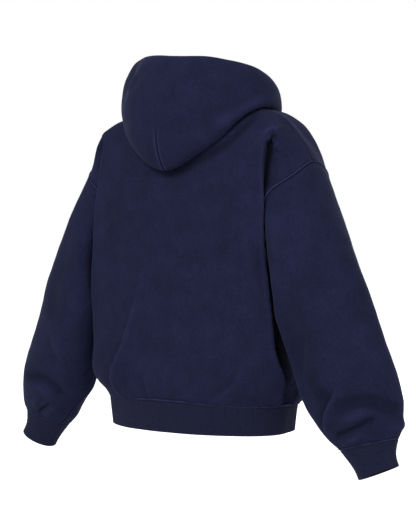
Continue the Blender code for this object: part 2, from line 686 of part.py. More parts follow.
def zip_path(front, band):
    """Down the front edge: two columns of points, their outward directions and the room a tape needs."""
    points = np.vstack([front.points[:, :2], band.points[1:, [-1, -2]]])
    across = np.vstack([front.across[:, :2], band.across[1:, [-1, -2]]])
    thick = np.repeat([WALL, RIB_WALL], [len(front.points) - 1, len(band.points)])
    return points, across, thick / 2 + TAPE_CLEAR + TAPE / 2


def zip_middle(front, band):
    """The middle line of the zip."""
    points, across, room = zip_path(front, band)
    middle = points[:, 0] - room[:, None] * across[:, 0]
    middle[:, 0] = 0
    return middle


def tape_pieces(front, band, material):
    """The two tapes: flat beside the teeth, then inside the points of the front panel."""
    points, across, room = zip_path(front, band)
    share = (TAPE_REACH - points[:, 0, 0]) / (points[:, 1, 0] - points[:, 0, 0])
    share = share[:, None]
    place = points[:, 0] + share * (points[:, 1] - points[:, 0])
    outer = place - room[:, None] * (across[:, 0] + share * (across[:, 1] - across[:, 0]))
    middle = zip_middle(front, band)
    grid = np.stack([middle + (CHAIN_HALF + GAP, 0, 0), middle + (ZIP_EDGE, 0, 0), outer], 1)
    left = Cloth("zip_tape_left", grid, TAPE, material, -1)
    left.across[:, :2] = left.across[:, :1]
    return [left, mirrored("zip_tape_right", left)]


def chain_piece(middle, top, bottom, material):
    """The closed teeth as one plain strip between the tapes."""
    heights = middle[:, 2]
    inner = middle[(heights < top - 0.004) & (heights > bottom + 0.004)]
    ends = [[0, np.interp(-z, -heights, middle[:, 1]), z] for z in (top, bottom)]
    line = np.vstack([ends[:1], inner, ends[1:]])
    grid = np.stack([line - (CHAIN_HALF, 0, 0), line + (CHAIN_HALF, 0, 0)], 1)
    return Cloth("zip_chain", grid, CHAIN_DEEP, material, -1)


def make_slider(frame, metal, collection, cutters):
    deep = 2 * (CHANNEL_HALF + PLATE)
    slider = block("zip_slider", (SLIDER_WIDE, deep, SLIDER_LONG), (0, 0, 0), collection, frame)
    finish_edges(slider, 0.0004)
    below = WEDGE_FROM + SLIDER_LONG / 2 + CUTTER_OVERRUN
    channel = block("cut_channel", (CHANNEL_WIDE, 2 * CHANNEL_HALF, below),
                    (0, 0, WEDGE_FROM - below / 2), cutters, frame)
    cut_or_join(slider, channel, "DIFFERENCE")
    leg = (CHANNEL_WIDE - WEDGE_WIDE) / 2
    throat_z = WEDGE_FROM - CUTTER_LAP + SLIDER_LONG / 2
    slot_x = (CHANNEL_WIDE + SLOT_DEEP) / 2 - CUTTER_LAP
    for side in (-1, 1):
        throat = block("cut_throat", (leg, 2 * CHANNEL_HALF, SLIDER_LONG),
                       (side * (WEDGE_WIDE + leg) / 2, 0, throat_z), cutters, frame)
        cut_or_join(slider, throat, "DIFFERENCE")
        slot = block("cut_slot", (SLOT_DEEP, 2 * SLOT_HALF, 2 * SLIDER_LONG),
                     (side * slot_x, 0, 0), cutters, frame)
        cut_or_join(slider, slot, "DIFFERENCE")
    front_face = -deep / 2
    pin_y = front_face - PIN_HEIGHT
    arch = round_bar("join_arch", BRIDGE_OUTER, BRIDGE_WIDE, (0, pin_y, 0), cutters, frame)
    feet_deep = PIN_HEIGHT + 2 * CUTTER_LAP
    feet = block("join_feet", (BRIDGE_WIDE, feet_deep, 2 * BRIDGE_OUTER),
                 (0, pin_y + feet_deep / 2, 0), cutters, frame)
    eye = round_bar("cut_eye", BRIDGE_INNER, 2 * BRIDGE_WIDE, (0, pin_y, 0), cutters, frame)
    below_eye = block("cut_below_eye", (2 * BRIDGE_WIDE, PIN_HEIGHT, 2 * BRIDGE_INNER),
                      (0, pin_y + PIN_HEIGHT / 2, 0), cutters, frame)
    cut_or_join(slider, arch, "UNION")
    cut_or_join(slider, feet, "UNION")
    cut_or_join(slider, eye, "DIFFERENCE")
    cut_or_join(slider, below_eye, "DIFFERENCE")
    slider.data.materials.append(metal)
    return pin_y


def make_tab(frame, pin_y, metal, collection, cutters):
    """Pull tab, its origin on the pin that turns in the slider's bridge."""
    pin = TAB_THICK / 2
    tab = block("zip_pull", (TAB_WIDE, TAB_THICK, TAB_LONG), (0, 0, pin - TAB_LONG / 2), collection, frame)
    tab.location = (0, pin_y, 0)
    eye = block("cut_tab_eye", (TAB_EYE_WIDE, 4 * TAB_THICK, TAB_EYE_LONG),
                (0, pin_y, -pin - TAB_EYE_LONG / 2), cutters, frame)
    bevel = tab.modifiers.new("round corners", "BEVEL")
    bevel.width = 0.0012
    bevel.segments = 3
    bevel.limit_method = "WEIGHT"
    weight = tab.data.attributes.new("bevel_weight_edge", "FLOAT", "EDGE")
    for edge in tab.data.edges:
        ends = [tab.data.vertices[v].co for v in edge.vertices]
        across_thickness = abs(ends[0].y - ends[1].y) > TAB_THICK / 2
        weight.data[edge.index].value = 1.0 if across_thickness and ends[0].z < 0 else 0.0
    cut_or_join(tab, eye, "DIFFERENCE")
    tab.data.materials.append(metal)


def make_zip_ends(top_frame, bottom_frame, metal, collection):
    """Top stops beside the slider's mouth and the retainer box at the bottom."""
    for side, name in ((1, "zip_stop_left"), (-1, "zip_stop_right")):
        stop = block(name, (STOP_WIDE, CHAIN_DEEP, STOP_LONG),
                     (side * (CHAIN_HALF - STOP_WIDE / 2), 0, SLIDER_LONG / 2 + GAP + STOP_LONG / 2),
                     collection, top_frame)
        finish_edges(stop, 0.0003)
        stop.data.materials.append(metal)
    box = block("zip_box", (BOX_WIDE, BOX_DEEP, BOX_LONG),
                (0, -(TAPE / 2 + GAP + BOX_DEEP / 2), BOX_LONG / 2), collection, bottom_frame)
    finish_edges(box, 0.0004)
    box.data.materials.append(metal)


def frame_at(name, place, upwards, collection):
    """An empty whose Z axis runs up the zip and whose -Y axis points out of the garment."""
    frame = bpy.data.objects.new(name, None)
    frame.location = place
    frame.rotation_euler = (-atan2(upwards[1], upwards[2]), 0, 0)
    collection.objects.link(frame)
    return frame


def build():
    for old in list(bpy.data.objects):
        bpy.data.objects.remove(old, do_unlink=True)
    collection = bpy.data.collections.new("zip_up_hoodie")
    cutters = bpy.data.collections.new("cutters")
    bpy.context.scene.collection.children.link(collection)
    bpy.context.scene.collection.children.link(cutters)
    fleece = new_material("brushed fleece", NAVY, 0.95)
    rib = new_material("rib knit", NAVY_RIB, 0.95)
    tape = new_material("zip tape", NAVY_RIB, 0.85)
    metal = new_material("gunmetal", GUNMETAL, 0.35, 1.0)

    pieces = cloth_pieces(fleece, rib)
    share_seam_directions(pieces)
    by_name = {piece.name: piece for piece in pieces}
    front, band = by_name["front_left"], by_name["hem_band"]
    middle = zip_middle(front, band)

    upwards = unit_vectors(middle[0] - middle[1])
    top_place = middle[0] - SLIDER_BELOW_NECK * upwards
    top_frame = frame_at("zip_top_frame", top_place, upwards, collection)
    last_upwards = unit_vectors(middle[-2] - middle[-1])
    bottom_place = middle[-1] + BOX_ABOVE_END * last_upwards
    bottom_frame = frame_at("zip_bottom_frame", bottom_place, last_upwards, collection)

    chain_top = (top_place + (WEDGE_FROM - GAP) * upwards)[2]
    chain_bottom = (bottom_place + (BOX_LONG + GAP) * last_upwards)[2]
    pieces += tape_pieces(front, band, tape)
    pieces.append(chain_piece(middle, chain_top, chain_bottom, metal))
    for piece in pieces:
        wall_object(piece, collection)

    pin_y = make_slider(top_frame, metal, collection, cutters)
    make_tab(top_frame, pin_y, metal, collection, cutters)
    make_zip_ends(top_frame, bottom_frame, metal, collection)


build()
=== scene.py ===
# %% [markdown]
# # A zip-up hoodie in navy brushed fleece
# The hoodie hangs in the shape of an unseen wearer, and it is seen from behind.  Every cloth piece is a
# wall about 3 mm thick: back, two fronts, two sleeves, two ribbed cuffs, a ribbed hem band and the hood.
# A zip with its tapes, teeth, slider and pull tab closes the front.
#
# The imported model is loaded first.  It fixes the place and size of everything, and its small metal parts
# stay as they are.  Each cloth piece is made again with finer sections, so that it can carry creases,
# seams and ribs that are too small for the model that the physics uses.

# %% Load the fixed frame
from math import cos, pi, radians, sin

import bmesh
import bpy
import numpy as np
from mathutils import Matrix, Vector
from mathutils.kdtree import KDTree


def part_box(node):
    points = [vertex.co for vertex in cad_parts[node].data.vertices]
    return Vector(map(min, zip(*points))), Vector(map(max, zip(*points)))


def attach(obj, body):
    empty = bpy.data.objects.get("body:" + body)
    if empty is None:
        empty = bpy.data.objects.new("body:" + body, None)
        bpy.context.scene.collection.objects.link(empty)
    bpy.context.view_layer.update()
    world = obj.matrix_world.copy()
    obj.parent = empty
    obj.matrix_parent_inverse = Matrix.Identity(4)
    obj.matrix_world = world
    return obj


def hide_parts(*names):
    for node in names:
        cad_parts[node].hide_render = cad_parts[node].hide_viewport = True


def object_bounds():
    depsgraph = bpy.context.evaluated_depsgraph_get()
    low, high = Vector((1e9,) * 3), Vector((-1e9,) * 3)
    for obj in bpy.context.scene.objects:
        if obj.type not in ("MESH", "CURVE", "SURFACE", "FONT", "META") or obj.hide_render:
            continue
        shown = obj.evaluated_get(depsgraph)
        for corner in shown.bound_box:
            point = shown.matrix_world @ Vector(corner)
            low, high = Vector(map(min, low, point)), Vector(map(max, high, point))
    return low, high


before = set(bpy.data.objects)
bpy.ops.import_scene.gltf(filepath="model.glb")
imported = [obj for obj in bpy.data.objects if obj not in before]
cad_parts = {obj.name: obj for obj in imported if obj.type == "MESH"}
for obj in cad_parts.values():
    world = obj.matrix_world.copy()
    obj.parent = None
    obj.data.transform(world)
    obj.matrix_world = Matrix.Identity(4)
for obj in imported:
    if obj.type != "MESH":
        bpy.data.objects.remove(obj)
cad_box = [list(corner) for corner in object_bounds()]
print("frame box", cad_box)

# %% [markdown]
# ## Sizes
# The sizes are those that a maker would write on the work sheet, in metres: the thickness of each cloth,
# the pitch of the ribs and stitches, and the width of the zip.

# %% Sizes of cloth, seams and zip
MM = 0.001
WALL = 2.8 * MM              # brushed fleece
RIB_WALL = 3.6 * MM          # doubled rib of the hem band and the cuffs
TAPE = 0.8 * MM
ZIP_EDGE = 7.0 * MM          # half of the space between the two front edges
CHAIN_HALF = 3.1 * MM        # half width of the closed teeth
CHAIN_DEEP = 2.4 * MM
GAP = 0.3 * MM               # between the teeth and the tape's woven edge
TAPE_REACH = 16.0 * MM       # width of each tape from the middle of the zip
TAPE_CLEAR = 0.6 * MM        # between a tape and the cloth in front of it
MITRE_LIMIT = 0.45           # a wall is stretched to 1 / this at most where two pieces meet sharply

HEM_HALF_WIDTH = 0.2070
HEM_HALF_DEPTH = 0.1250
HEM_MIDDLE_Y = 0.0080
HEM_SQUARENESS = 2.15        # 2 is an ellipse, more is squarer
HEM_SEAM_Z = -0.5760
HEM_BACK_RISE = 0.0055       # the seam rides up this much at the centre back
HEM_BOTTOM_Z = -0.6320
HEM_TAPER = 0.0060
HOOD_LEAN = 0.0075           # its left side lies this much higher than its right

CORNER_SWELL = 0.012         # the sleeve swells behind the shoulder
UNDERARM_ROOM = 0.013        # and stands off the body under the arm
ARMHOLE_FADE = 0.42          # row at which nothing of the armhole's own shape is left

# %% [markdown]
# ## The pattern
# A hoodie is cut from flat panels, but once it is worn each panel bends both ways.  It could be simulated
# from its flat cut, which is slow and hard to steer.  Here each panel is a net of named sections instead,
# and a smooth spline joins them, so one number moves one part of the cloth.  These are the same sections
# that the frame was built from.

# %% Seam lines of one half, with x measured outwards
ARMHOLE = [  # angle (0 top, 90 back, 180 armpit, 270 front), x, y, z
    (0,   0.2590,  0.0100, -0.1120),
    (30,  0.2580,  0.0460, -0.1260),
    (60,  0.2350,  0.0670, -0.1480),
    (90,  0.2010,  0.0780, -0.1770),
    (120, 0.1980,  0.0640, -0.2200),
    (150, 0.2060,  0.0330, -0.2730),
    (180, 0.2140, -0.0040, -0.3080),
    (210, 0.2070, -0.0420, -0.2810),
    (240, 0.1980, -0.0680, -0.2350),
    (270, 0.2080, -0.0800, -0.1900),
    (300, 0.2420, -0.0700, -0.1530),
    (330, 0.2580, -0.0340, -0.1240),
]
SHOULDER = [  # share from neck to armhole, x, y, z
    (0.00, 0.0900, 0.0300,  0.0000),
    (0.30, 0.1450, 0.0260, -0.0100),
    (0.62, 0.2000, 0.0200, -0.0260),
    (0.80, 0.2270, 0.0130, -0.0580),
    (1.00, 0.2590, 0.0100, -0.1120),
]
NECK = [  # share from centre back to zip, x, y, z
    (0.00, 0.0000,  0.0740,  0.0120),
    (0.14, 0.0350,  0.0690,  0.0110),
    (0.28, 0.0670,  0.0550,  0.0070),
    (0.40, 0.0900,  0.0300,  0.0000),
    (0.56, 0.0940, -0.0150, -0.0180),
    (0.72, 0.0790, -0.0600, -0.0450),
    (0.87, 0.0470, -0.0950, -0.0700),
    (1.00, 0.0070, -0.1120, -0.0860),
]
NECK_AT_SHOULDER = 0.40
SIDE_SEAM = [  # share from armpit to hem, x, y, z
    (0.00, 0.2140, -0.0040, -0.3080),
    (0.34, 0.2160,  0.0000, -0.4000),
    (0.64, 0.2200,  0.0020, -0.4800),
    (0.86, 0.2230,  0.0040, -0.5400),
    (1.00, 0.2070,  0.0080, -0.5760),
]
ARMPIT_ROW = 0.52
ROW_TO_ARMHOLE = [  # row of a body panel, angle on the armhole
    (0.00, 0), (0.08, 26), (0.18, 55), (0.29, 86), (0.41, 132), (0.52, 180),
]

# %% Sections of the back and of one front
# Columns of the back: centre, collar, neck, blade, near, fold, tuck, and the seam from the seam lines.
BACK_COLUMNS = (0, 0.15, 0.27, 0.42, 0.55, 0.68, 0.82, 1)
BACK_NECK_SHARE = 0.27
BACK = [  # row, then (x, y, z) in each column
    (0.08, (0, 0.096, -0.035), (0.050, 0.092, -0.037), (0.095, 0.077, -0.041), (0.148, 0.067, -0.038),
           (0.194, 0.059, -0.038), (0.2180, 0.0610, -0.058), (0.2380, 0.050, -0.092)),
    (0.18, (0, 0.112, -0.090), (0.050, 0.110, -0.091), (0.097, 0.105, -0.094), (0.145, 0.097, -0.097),
           (0.178, 0.089, -0.098), (0.2025, 0.0810, -0.098), (0.2220, 0.073, -0.120)),
    (0.29, (0, 0.119, -0.150), (0.050, 0.118, -0.152), (0.098, 0.114, -0.155), (0.147, 0.107, -0.160),
           (0.180, 0.098, -0.163), (0.2020, 0.0885, -0.165), (0.2030, 0.084, -0.170)),
    (0.41, (0, 0.121, -0.215), (0.050, 0.120, -0.217), (0.099, 0.117, -0.220), (0.149, 0.110, -0.223),
           (0.185, 0.101, -0.226), (0.2065, 0.0915, -0.228), (0.1985, 0.077, -0.232)),
    (0.52, (0, 0.122, -0.290), (0.050, 0.121, -0.292), (0.100, 0.118, -0.295), (0.152, 0.111, -0.298),
           (0.190, 0.101, -0.301), (0.2125, 0.0890, -0.303), (0.2055, 0.060, -0.305)),
    (0.68, (0, 0.128, -0.385), (0.050, 0.127, -0.387), (0.102, 0.123, -0.390), (0.157, 0.113, -0.393),
           (0.197, 0.099, -0.396), (0.2197, 0.0800, -0.397), (0.2160, 0.048, -0.399)),
    (0.82, (0, 0.134, -0.475), (0.050, 0.133, -0.476), (0.104, 0.128, -0.477), (0.161, 0.116, -0.478),
           (0.202, 0.096, -0.479), (0.2260, 0.0660, -0.480), (0.2220, 0.036, -0.480)),
    (0.93, (0, 0.137, -0.535), (0.050, 0.136, -0.536), (0.105, 0.131, -0.537), (0.162, 0.117, -0.538),
           (0.203, 0.091, -0.539), (0.2270, 0.0530, -0.540), (0.2260, 0.028, -0.540)),
]
# Columns of a front: zip, chest, collar, neck, blade, near, fold, and the seam.
FRONT_COLUMNS = (0, 0.15, 0.30, 0.45, 0.58, 0.70, 0.82, 1)
FRONT_NECK_SHARE = 0.45
FRONT = [
    (0.08, (0.007, -0.119, -0.120), (0.050, -0.112, -0.109), (0.086, -0.090, -0.084), (0.118, -0.062, -0.045),
           (0.162, -0.045, -0.018), (0.208, -0.046, -0.042), (0.2310, -0.0380, -0.080)),
    (0.18, (0.007, -0.126, -0.165), (0.055, -0.122, -0.160), (0.100, -0.111, -0.148), (0.140, -0.100, -0.122),
           (0.178, -0.091, -0.108), (0.213, -0.078, -0.110), (0.2340, -0.0680, -0.127)),
    (0.29, (0.007, -0.131, -0.215), (0.055, -0.129, -0.210), (0.102, -0.122, -0.200), (0.142, -0.111, -0.190),
           (0.170, -0.101, -0.183), (0.192, -0.092, -0.181), (0.2045, -0.0865, -0.185)),
    (0.41, (0.007, -0.132, -0.265), (0.055, -0.131, -0.262), (0.103, -0.126, -0.254), (0.145, -0.117, -0.246),
           (0.173, -0.107, -0.242), (0.194, -0.097, -0.240), (0.2030, -0.0830, -0.238)),
    (0.52, (0.007, -0.130, -0.318), (0.055, -0.130, -0.316), (0.105, -0.127, -0.312), (0.148, -0.119, -0.309),
           (0.178, -0.107, -0.308), (0.200, -0.091, -0.308), (0.2110, -0.0600, -0.308)),
    (0.68, (0.007, -0.127, -0.400), (0.055, -0.128, -0.400), (0.106, -0.126, -0.400), (0.152, -0.119, -0.400),
           (0.184, -0.106, -0.400), (0.206, -0.086, -0.400), (0.2170, -0.0500, -0.400)),
    (0.82, (0.007, -0.127, -0.480), (0.055, -0.130, -0.480), (0.107, -0.130, -0.480), (0.155, -0.123, -0.480),
           (0.189, -0.109, -0.480), (0.212, -0.085, -0.480), (0.2230, -0.0460, -0.480)),
    (0.93, (0.007, -0.125, -0.540), (0.055, -0.132, -0.540), (0.107, -0.133, -0.540), (0.155, -0.125, -0.540),
           (0.190, -0.109, -0.540), (0.213, -0.083, -0.540), (0.2250, -0.0440, -0.540)),
]

# %% Rings of a sleeve and a cuff, and profiles of the hood
SLEEVE = [  # row, centre x, y, z, half breadth, half depth, turn of the outer edge forwards, tilt
    (0.00, 0.2300, 0.0080, -0.2150, 0.098, 0.079, 12, 38),
    (0.18, 0.2680, 0.0250, -0.2820, 0.086, 0.073, 24, 24),
    (0.36, 0.2980, 0.0360, -0.3640, 0.086, 0.064, 29, 19),
    (0.52, 0.3180, 0.0380, -0.4230, 0.089, 0.059, 27, 19),
    (0.68, 0.3395, 0.0360, -0.4900, 0.091, 0.058, 23, 19),
    (0.82, 0.3640, 0.0320, -0.5480, 0.088, 0.060, 18, 19),
    (0.91, 0.3800, 0.0290, -0.5870, 0.078, 0.054, 16, 18),
    (0.96, 0.3880, 0.0260, -0.6140, 0.068, 0.046, 12, 16),
    (1.00, 0.3930, 0.0251, -0.6340, 0.055, 0.037, 8, 14),
]
CUFF = [
    (0.00, 0.3930, 0.0251, -0.6340, 0.055, 0.0370, 8, 14),
    (0.35, 0.4030, 0.0270, -0.6570, 0.043, 0.0315, 6, 20),
    (1.00, 0.4174, 0.0300, -0.6855, 0.038, 0.0300, 4, 23),
]
# Columns after the neck seam: stand, under leaf, bottom fold, bulge, high, ridge, roll, rim.
HOOD_COLUMNS = (0, 0.07, 0.20, 0.36, 0.47, 0.58, 0.74, 0.88, 1)
HOOD = [  # plan angle from the centre back, then (distance from the middle, z) in each column
    (0,   (0.080,  0.029), (0.112, -0.020), (0.1350, -0.1215), (0.1620, -0.088), (0.1700, -0.020),
          (0.1580,  0.050), (0.1200,  0.096), (0.098,  0.072)),
    (25,  (0.082,  0.028), (0.114, -0.018), (0.1355, -0.0950), (0.1600, -0.072), (0.1690, -0.010),
          (0.1570,  0.052), (0.1230,  0.096), (0.102,  0.072)),
    (50,  (0.090,  0.025), (0.120,  0.000), (0.1440, -0.0480), (0.1610, -0.030), (0.1640,  0.015),
          (0.1540,  0.060), (0.1290,  0.091), (0.108,  0.068)),
    (75,  (0.099,  0.016), (0.128,  0.009), (0.1600, -0.0055), (0.1680,  0.007), (0.1630,  0.031),
          (0.1510,  0.064), (0.1300,  0.079), (0.112,  0.058)),
    (100, (0.099,  0.006), (0.128,  0.006), (0.1540, -0.0020), (0.1610,  0.009), (0.1580,  0.029),
          (0.1480,  0.051), (0.1310,  0.060), (0.116,  0.045)),
    (125, (0.108, -0.022), (0.126, -0.018), (0.1410, -0.0210), (0.1460, -0.010), (0.1445,  0.006),
          (0.1365,  0.020), (0.1250,  0.025), (0.114,  0.015)),
    (150, (0.114, -0.056), (0.120, -0.052), (0.1245, -0.0500), (0.1260, -0.043), (0.1250, -0.034),
          (0.1210, -0.026), (0.1155, -0.023), (0.109, -0.027)),
    (176, (0.113, -0.081), (0.114, -0.076), (0.1145, -0.0710), (0.1145, -0.067), (0.1140, -0.063),
          (0.1130, -0.059), (0.1115, -0.056), (0.110, -0.053)),
]

# %% [markdown]
# ## Smooth lines through a few numbers
# A cubic spline through the table's rows gives every place between them.  Two small blends do the rest:
# `ease` goes from 0 to 1 without a corner, and `swell` is a soft bump.

# %% Splines and blends
def spline_weights(knots, places, period=None):
    """Weights that a cubic spline through the knots gives each knot's value, one row for each place."""
    knots = np.asarray(knots, float)
    places = np.atleast_1d(np.asarray(places, float))
    count = len(knots)
    left = np.zeros((count, count))
    right = np.zeros((count, count))
    if period is None:
        step = np.append(np.diff(knots), 1.0)
        inner = range(1, count - 1)
        left[0, 0] = left[-1, -1] = 1.0
    else:
        step = np.append(np.diff(knots), knots[0] + period - knots[-1])
        inner = range(count)
        places = (places - knots[0]) % period + knots[0]
    for i in inner:
        before, after = (i - 1) % count, (i + 1) % count
        left[i, before] += step[before]
        left[i, i] += 2 * (step[before] + step[i])
        left[i, after] += step[i]
        right[i, before] += 6 / step[before]
        right[i, i] -= 6 / step[before] + 6 / step[i]
        right[i, after] += 6 / step[i]
    bend = np.linalg.solve(left, right)
    last = count - 1 if period else count - 2
    i = np.clip(np.searchsorted(knots, places, side="right") - 1, 0, last)
    j = (i + 1) % count
    h = step[i][:, None]
    from_i = places[:, None] - knots[i][:, None]
    to_j = h - from_i
    unit = np.eye(count)
    return (to_j ** 3 / (6 * h) * bend[i] + from_i ** 3 / (6 * h) * bend[j]
            + to_j / h * unit[i] + from_i / h * unit[j]
            - h * to_j / 6 * bend[i] - h * from_i / 6 * bend[j])


def along(table, places, period=None):
    """Values of a table's columns at the given places of its first column."""
    rows = np.array(table, float)
    return spline_weights(rows[:, 0], places, period) @ rows[:, 1:]


def ease(x):
    """0 up to 0, 1 from 1 on, smooth between."""
    x = np.clip(x, 0, 1)
    return x * x * (3 - 2 * x)


def swell(x, middle, reach):
    """1 in the middle, dying away on both sides."""
    return np.exp(-((x - middle) / reach) ** 2)


def unit_vectors(v):
    return v / np.maximum(np.linalg.norm(v, axis=-1, keepdims=True), 1e-12)


# %% Seam lines
def armhole_line(degrees):
    return along(ARMHOLE, degrees, period=360)


def shoulder_line(share):
    return along(SHOULDER, share)


def neck_line(share):
    rows = np.array(NECK)
    other_side = rows[:0:-1] * (-1, -1, 1, 1)
    return along(np.vstack([other_side, rows]), share)


def row_angles(rows):
    return along(ROW_TO_ARMHOLE, np.minimum(rows, ARMPIT_ROW))[:, 0]


def side_line(rows, face):
    """Outer edge of a body panel: the armhole down to the armpit, then the side seam."""
    rows = np.atleast_1d(rows)
    arm = armhole_line(face * row_angles(rows))
    below = along(SIDE_SEAM, np.clip((rows - ARMPIT_ROW) / (1 - ARMPIT_ROW), 0, 1))
    return np.where((rows <= ARMPIT_ROW)[:, None], arm, below)


def hem_outline(degrees, draw_in=0.0):
    """Points round the hem; 0 is the centre back, 90 the side and 180 the centre front."""
    t = np.radians(degrees)
    power = 2 / HEM_SQUARENESS
    x = np.sign(np.sin(t)) * (HEM_HALF_WIDTH - draw_in) * np.abs(np.sin(t)) ** power
    y = HEM_MIDDLE_Y + np.sign(np.cos(t)) * (HEM_HALF_DEPTH - draw_in) * np.abs(np.cos(t)) ** power
    return x, y


def hem_seam_height(degrees):
    back = np.maximum(np.cos(np.radians(degrees)), 0)
    return HEM_SEAM_Z + HEM_BACK_RISE * back ** 3


def hem_degrees(share, face):
    """Angle on the hem of a panel's column, so that the columns are evenly spaced along the seam."""
    fine = np.linspace(0, 90, 400)
    x, y = hem_outline(fine)
    run = np.append(0, np.cumsum(np.hypot(np.diff(x), np.diff(y))))
    if face > 0:
        return np.interp(np.asarray(share) * run[-1], run, fine)
    return 180 - np.interp(ZIP_EDGE + np.asarray(share) * (run[-1] - ZIP_EDGE), run, fine)


def hem_line(share, face):
    degrees = hem_degrees(share, face)
    x, y = hem_outline(degrees)
    return np.stack([x, y, hem_seam_height(degrees)], -1)


def top_line(share, face):
    """Top edge of a body panel: along the neck, then along the shoulder."""
    share = np.asarray(share, float)
    split = BACK_NECK_SHARE if face > 0 else FRONT_NECK_SHARE
    on_neck = np.clip(share / split, 0, 1)
    if face > 0:
        neck = neck_line(on_neck * NECK_AT_SHOULDER)
    else:
        neck = neck_line(1 - on_neck * (1 - NECK_AT_SHOULDER))
    shoulder = shoulder_line(np.clip((share - split) / (1 - split), 0, 1))
    return np.where((share <= split)[:, None], neck, shoulder)


# %% Middle surface of the back and the fronts
TOP_BLEND = 0.09             # shares of a panel over which it is drawn onto its exact seam lines
HEM_BLEND = 0.10
SIDE_BLEND = 0.20


def body_panel(columns, table, face, u, v):
    """Back (face 1, u from -1 to 1) or one front (face -1, u from 0 to 1) on its exact seam lines."""
    rows = [0] + [row[0] for row in table] + [1]
    net = [top_line(np.array(columns), face)]
    for row in table:
        net.append(np.vstack([row[1:], side_line(row[0], face)]))
    net.append(hem_line(np.array(columns), face))
    net = np.array(net)
    columns = np.array(columns, float)
    if face > 0:
        net = np.concatenate([net[:, :0:-1] * (-1, 1, 1), net], 1)
        columns = np.concatenate([-columns[:0:-1], columns])

    def loft(v, u):
        return np.einsum("vi,ijk,uj->vuk", spline_weights(rows, v), net, spline_weights(columns, u),
                         optimize=True)

    mirror = np.where(u < 0, -1.0, 1.0)[:, None] * (1, 0, 0) + (0, 1, 1)
    points = loft(v, u)
    to_top = top_line(np.abs(u), face) * mirror - loft([0], u)[0]
    to_hem = hem_line(np.abs(u), face) * mirror - loft([1], u)[0]
    near_top = ease(1 - v / TOP_BLEND)[:, None]
    near_hem = ease((v - (1 - HEM_BLEND)) / HEM_BLEND)[:, None]
    points += near_top[:, :, None] * to_top + near_hem[:, :, None] * to_hem
    for sign in (1, -1) if face > 0 else (1,):
        edge = loft(v, [sign])[:, 0] + near_top * to_top[u == sign] + near_hem * to_hem[u == sign]
        to_side = side_line(v, face) * (sign, 1, 1) - edge
        near_side = ease((np.abs(u) - (1 - SIDE_BLEND)) / SIDE_BLEND) * (np.sign(u) == sign)
        points += near_side[None, :, None] * to_side[:, None]
    return points


# %% Middle surfaces of the sleeves, cuffs and hem band
def rings(table, rows, degrees):
    """Tilted, turned ellipses about a limb, one for each row; an angle keeps its side as they turn."""
    x, y, z, broad, deep, turn, tilt = along(table, rows).T[:, :, None]
    t = np.radians(degrees + turn)
    turn, tilt = np.radians(turn), np.radians(tilt)
    outwards = broad * np.cos(t) * np.cos(turn) + deep * np.sin(t) * np.sin(turn)
    backwards = deep * np.sin(t) * np.cos(turn) - broad * np.cos(t) * np.sin(turn)
    return np.stack([x + outwards * np.cos(tilt), y + backwards, z + outwards * np.sin(tilt)], -1)


def sleeve_surface(rows, degrees):
    """Left sleeve: the armhole's own shape turns into rings on the way down."""
    points = rings(SLEEVE, rows, degrees)
    from_ring = armhole_line(degrees) - rings(SLEEVE, [0], degrees)[0]
    points += ease(1 - rows / ARMHOLE_FADE)[:, None, None] * from_ring
    outwards = unit_vectors(points - points.mean(1, keepdims=True))
    # both swellings are whole in the middle of the sleeve's upper part and gone at its ends
    corner = (ease(rows / 0.30) * ease((0.80 - rows) / 0.45))[:, None] * swell(degrees, 128, 30)[None]
    points += CORNER_SWELL * corner[:, :, None] * outwards
    underarm = (ease(rows / 0.09) * ease((0.40 - rows) / 0.30))[:, None] * swell(degrees, 160, 40)[None]
    points[:, :, 0] += UNDERARM_ROOM * underarm
    return points


def hem_band_surface(rows, degrees):
    points = []
    for row in rows:
        x, y = hem_outline(degrees, HEM_TAPER * row)
        z = hem_seam_height(degrees) * (1 - row) + HEM_BOTTOM_Z * row
        points.append(np.stack([x, y, z], -1))
    return np.array(points)


# %% Middle surface of the hood
NECK_BLEND = 0.10            # share of its rows over which it is drawn onto its exact seam line
LEAN_FROM, LEAN_OVER = 0.15, 0.20        # row where its lean begins, and rows until it is whole


def neck_at_angle(degrees):
    """Point of the neck seam in a plan direction from the centre back."""
    share = np.linspace(0, 1, 2001)
    line = neck_line(share)
    angle = np.degrees(np.arctan2(line[:, 0], line[:, 1]))
    point = neck_line(np.interp(np.abs(degrees), angle, share))
    return point * np.stack([np.where(degrees < 0, -1, 1), np.ones_like(degrees), np.ones_like(degrees)], -1)


def hood_surface(rows, degrees):
    """The hood from its neck seam, over and down to the bottom fold, up again and rolled in at the rim."""
    angles = np.array([profile[0] for profile in HOOD], float)
    seam = neck_at_angle(angles)
    net = []
    for profile, start in zip(HOOD, seam):
        a = radians(profile[0])
        net.append([start] + [(r * sin(a), r * cos(a), z) for r, z in profile[1:]])
    net = np.array(net)
    net = np.concatenate([net[:0:-1] * (-1, 1, 1), net])
    angles = np.concatenate([-angles[:0:-1], angles])
    across = spline_weights(angles, degrees)
    points = np.einsum("pi,ijk,wj->wpk", across, net, spline_weights(HOOD_COLUMNS, rows), optimize=True)
    to_seam = neck_at_angle(degrees) - across @ net[:, 0]
    points += ease(1 - rows / NECK_BLEND)[:, None, None] * to_seam
    turn = np.radians(degrees)
    lean = HOOD_LEAN * np.sin(turn) * (1 + np.cos(turn)) / 2
    points[:, :, 2] += ease((rows - LEAN_FROM) / LEAN_OVER)[:, None] * lean
    return points


# %% [markdown]
# ## Where the cloth is sampled
# A crease in the middle of a panel is centimetres wide, but a seam is a groove of 1 to 2 mm.  So the
# sections lie about 4 mm apart, and close up to half a millimetre beside every seam and free edge.
# Neighbouring pieces use the same places along the seam that they share.

# %% Sampling that neighbours share
EDGE_STEPS = np.array([0, 0.04, 0.09, 0.15, 0.22, 0.31, 0.43, 0.58, 0.77])


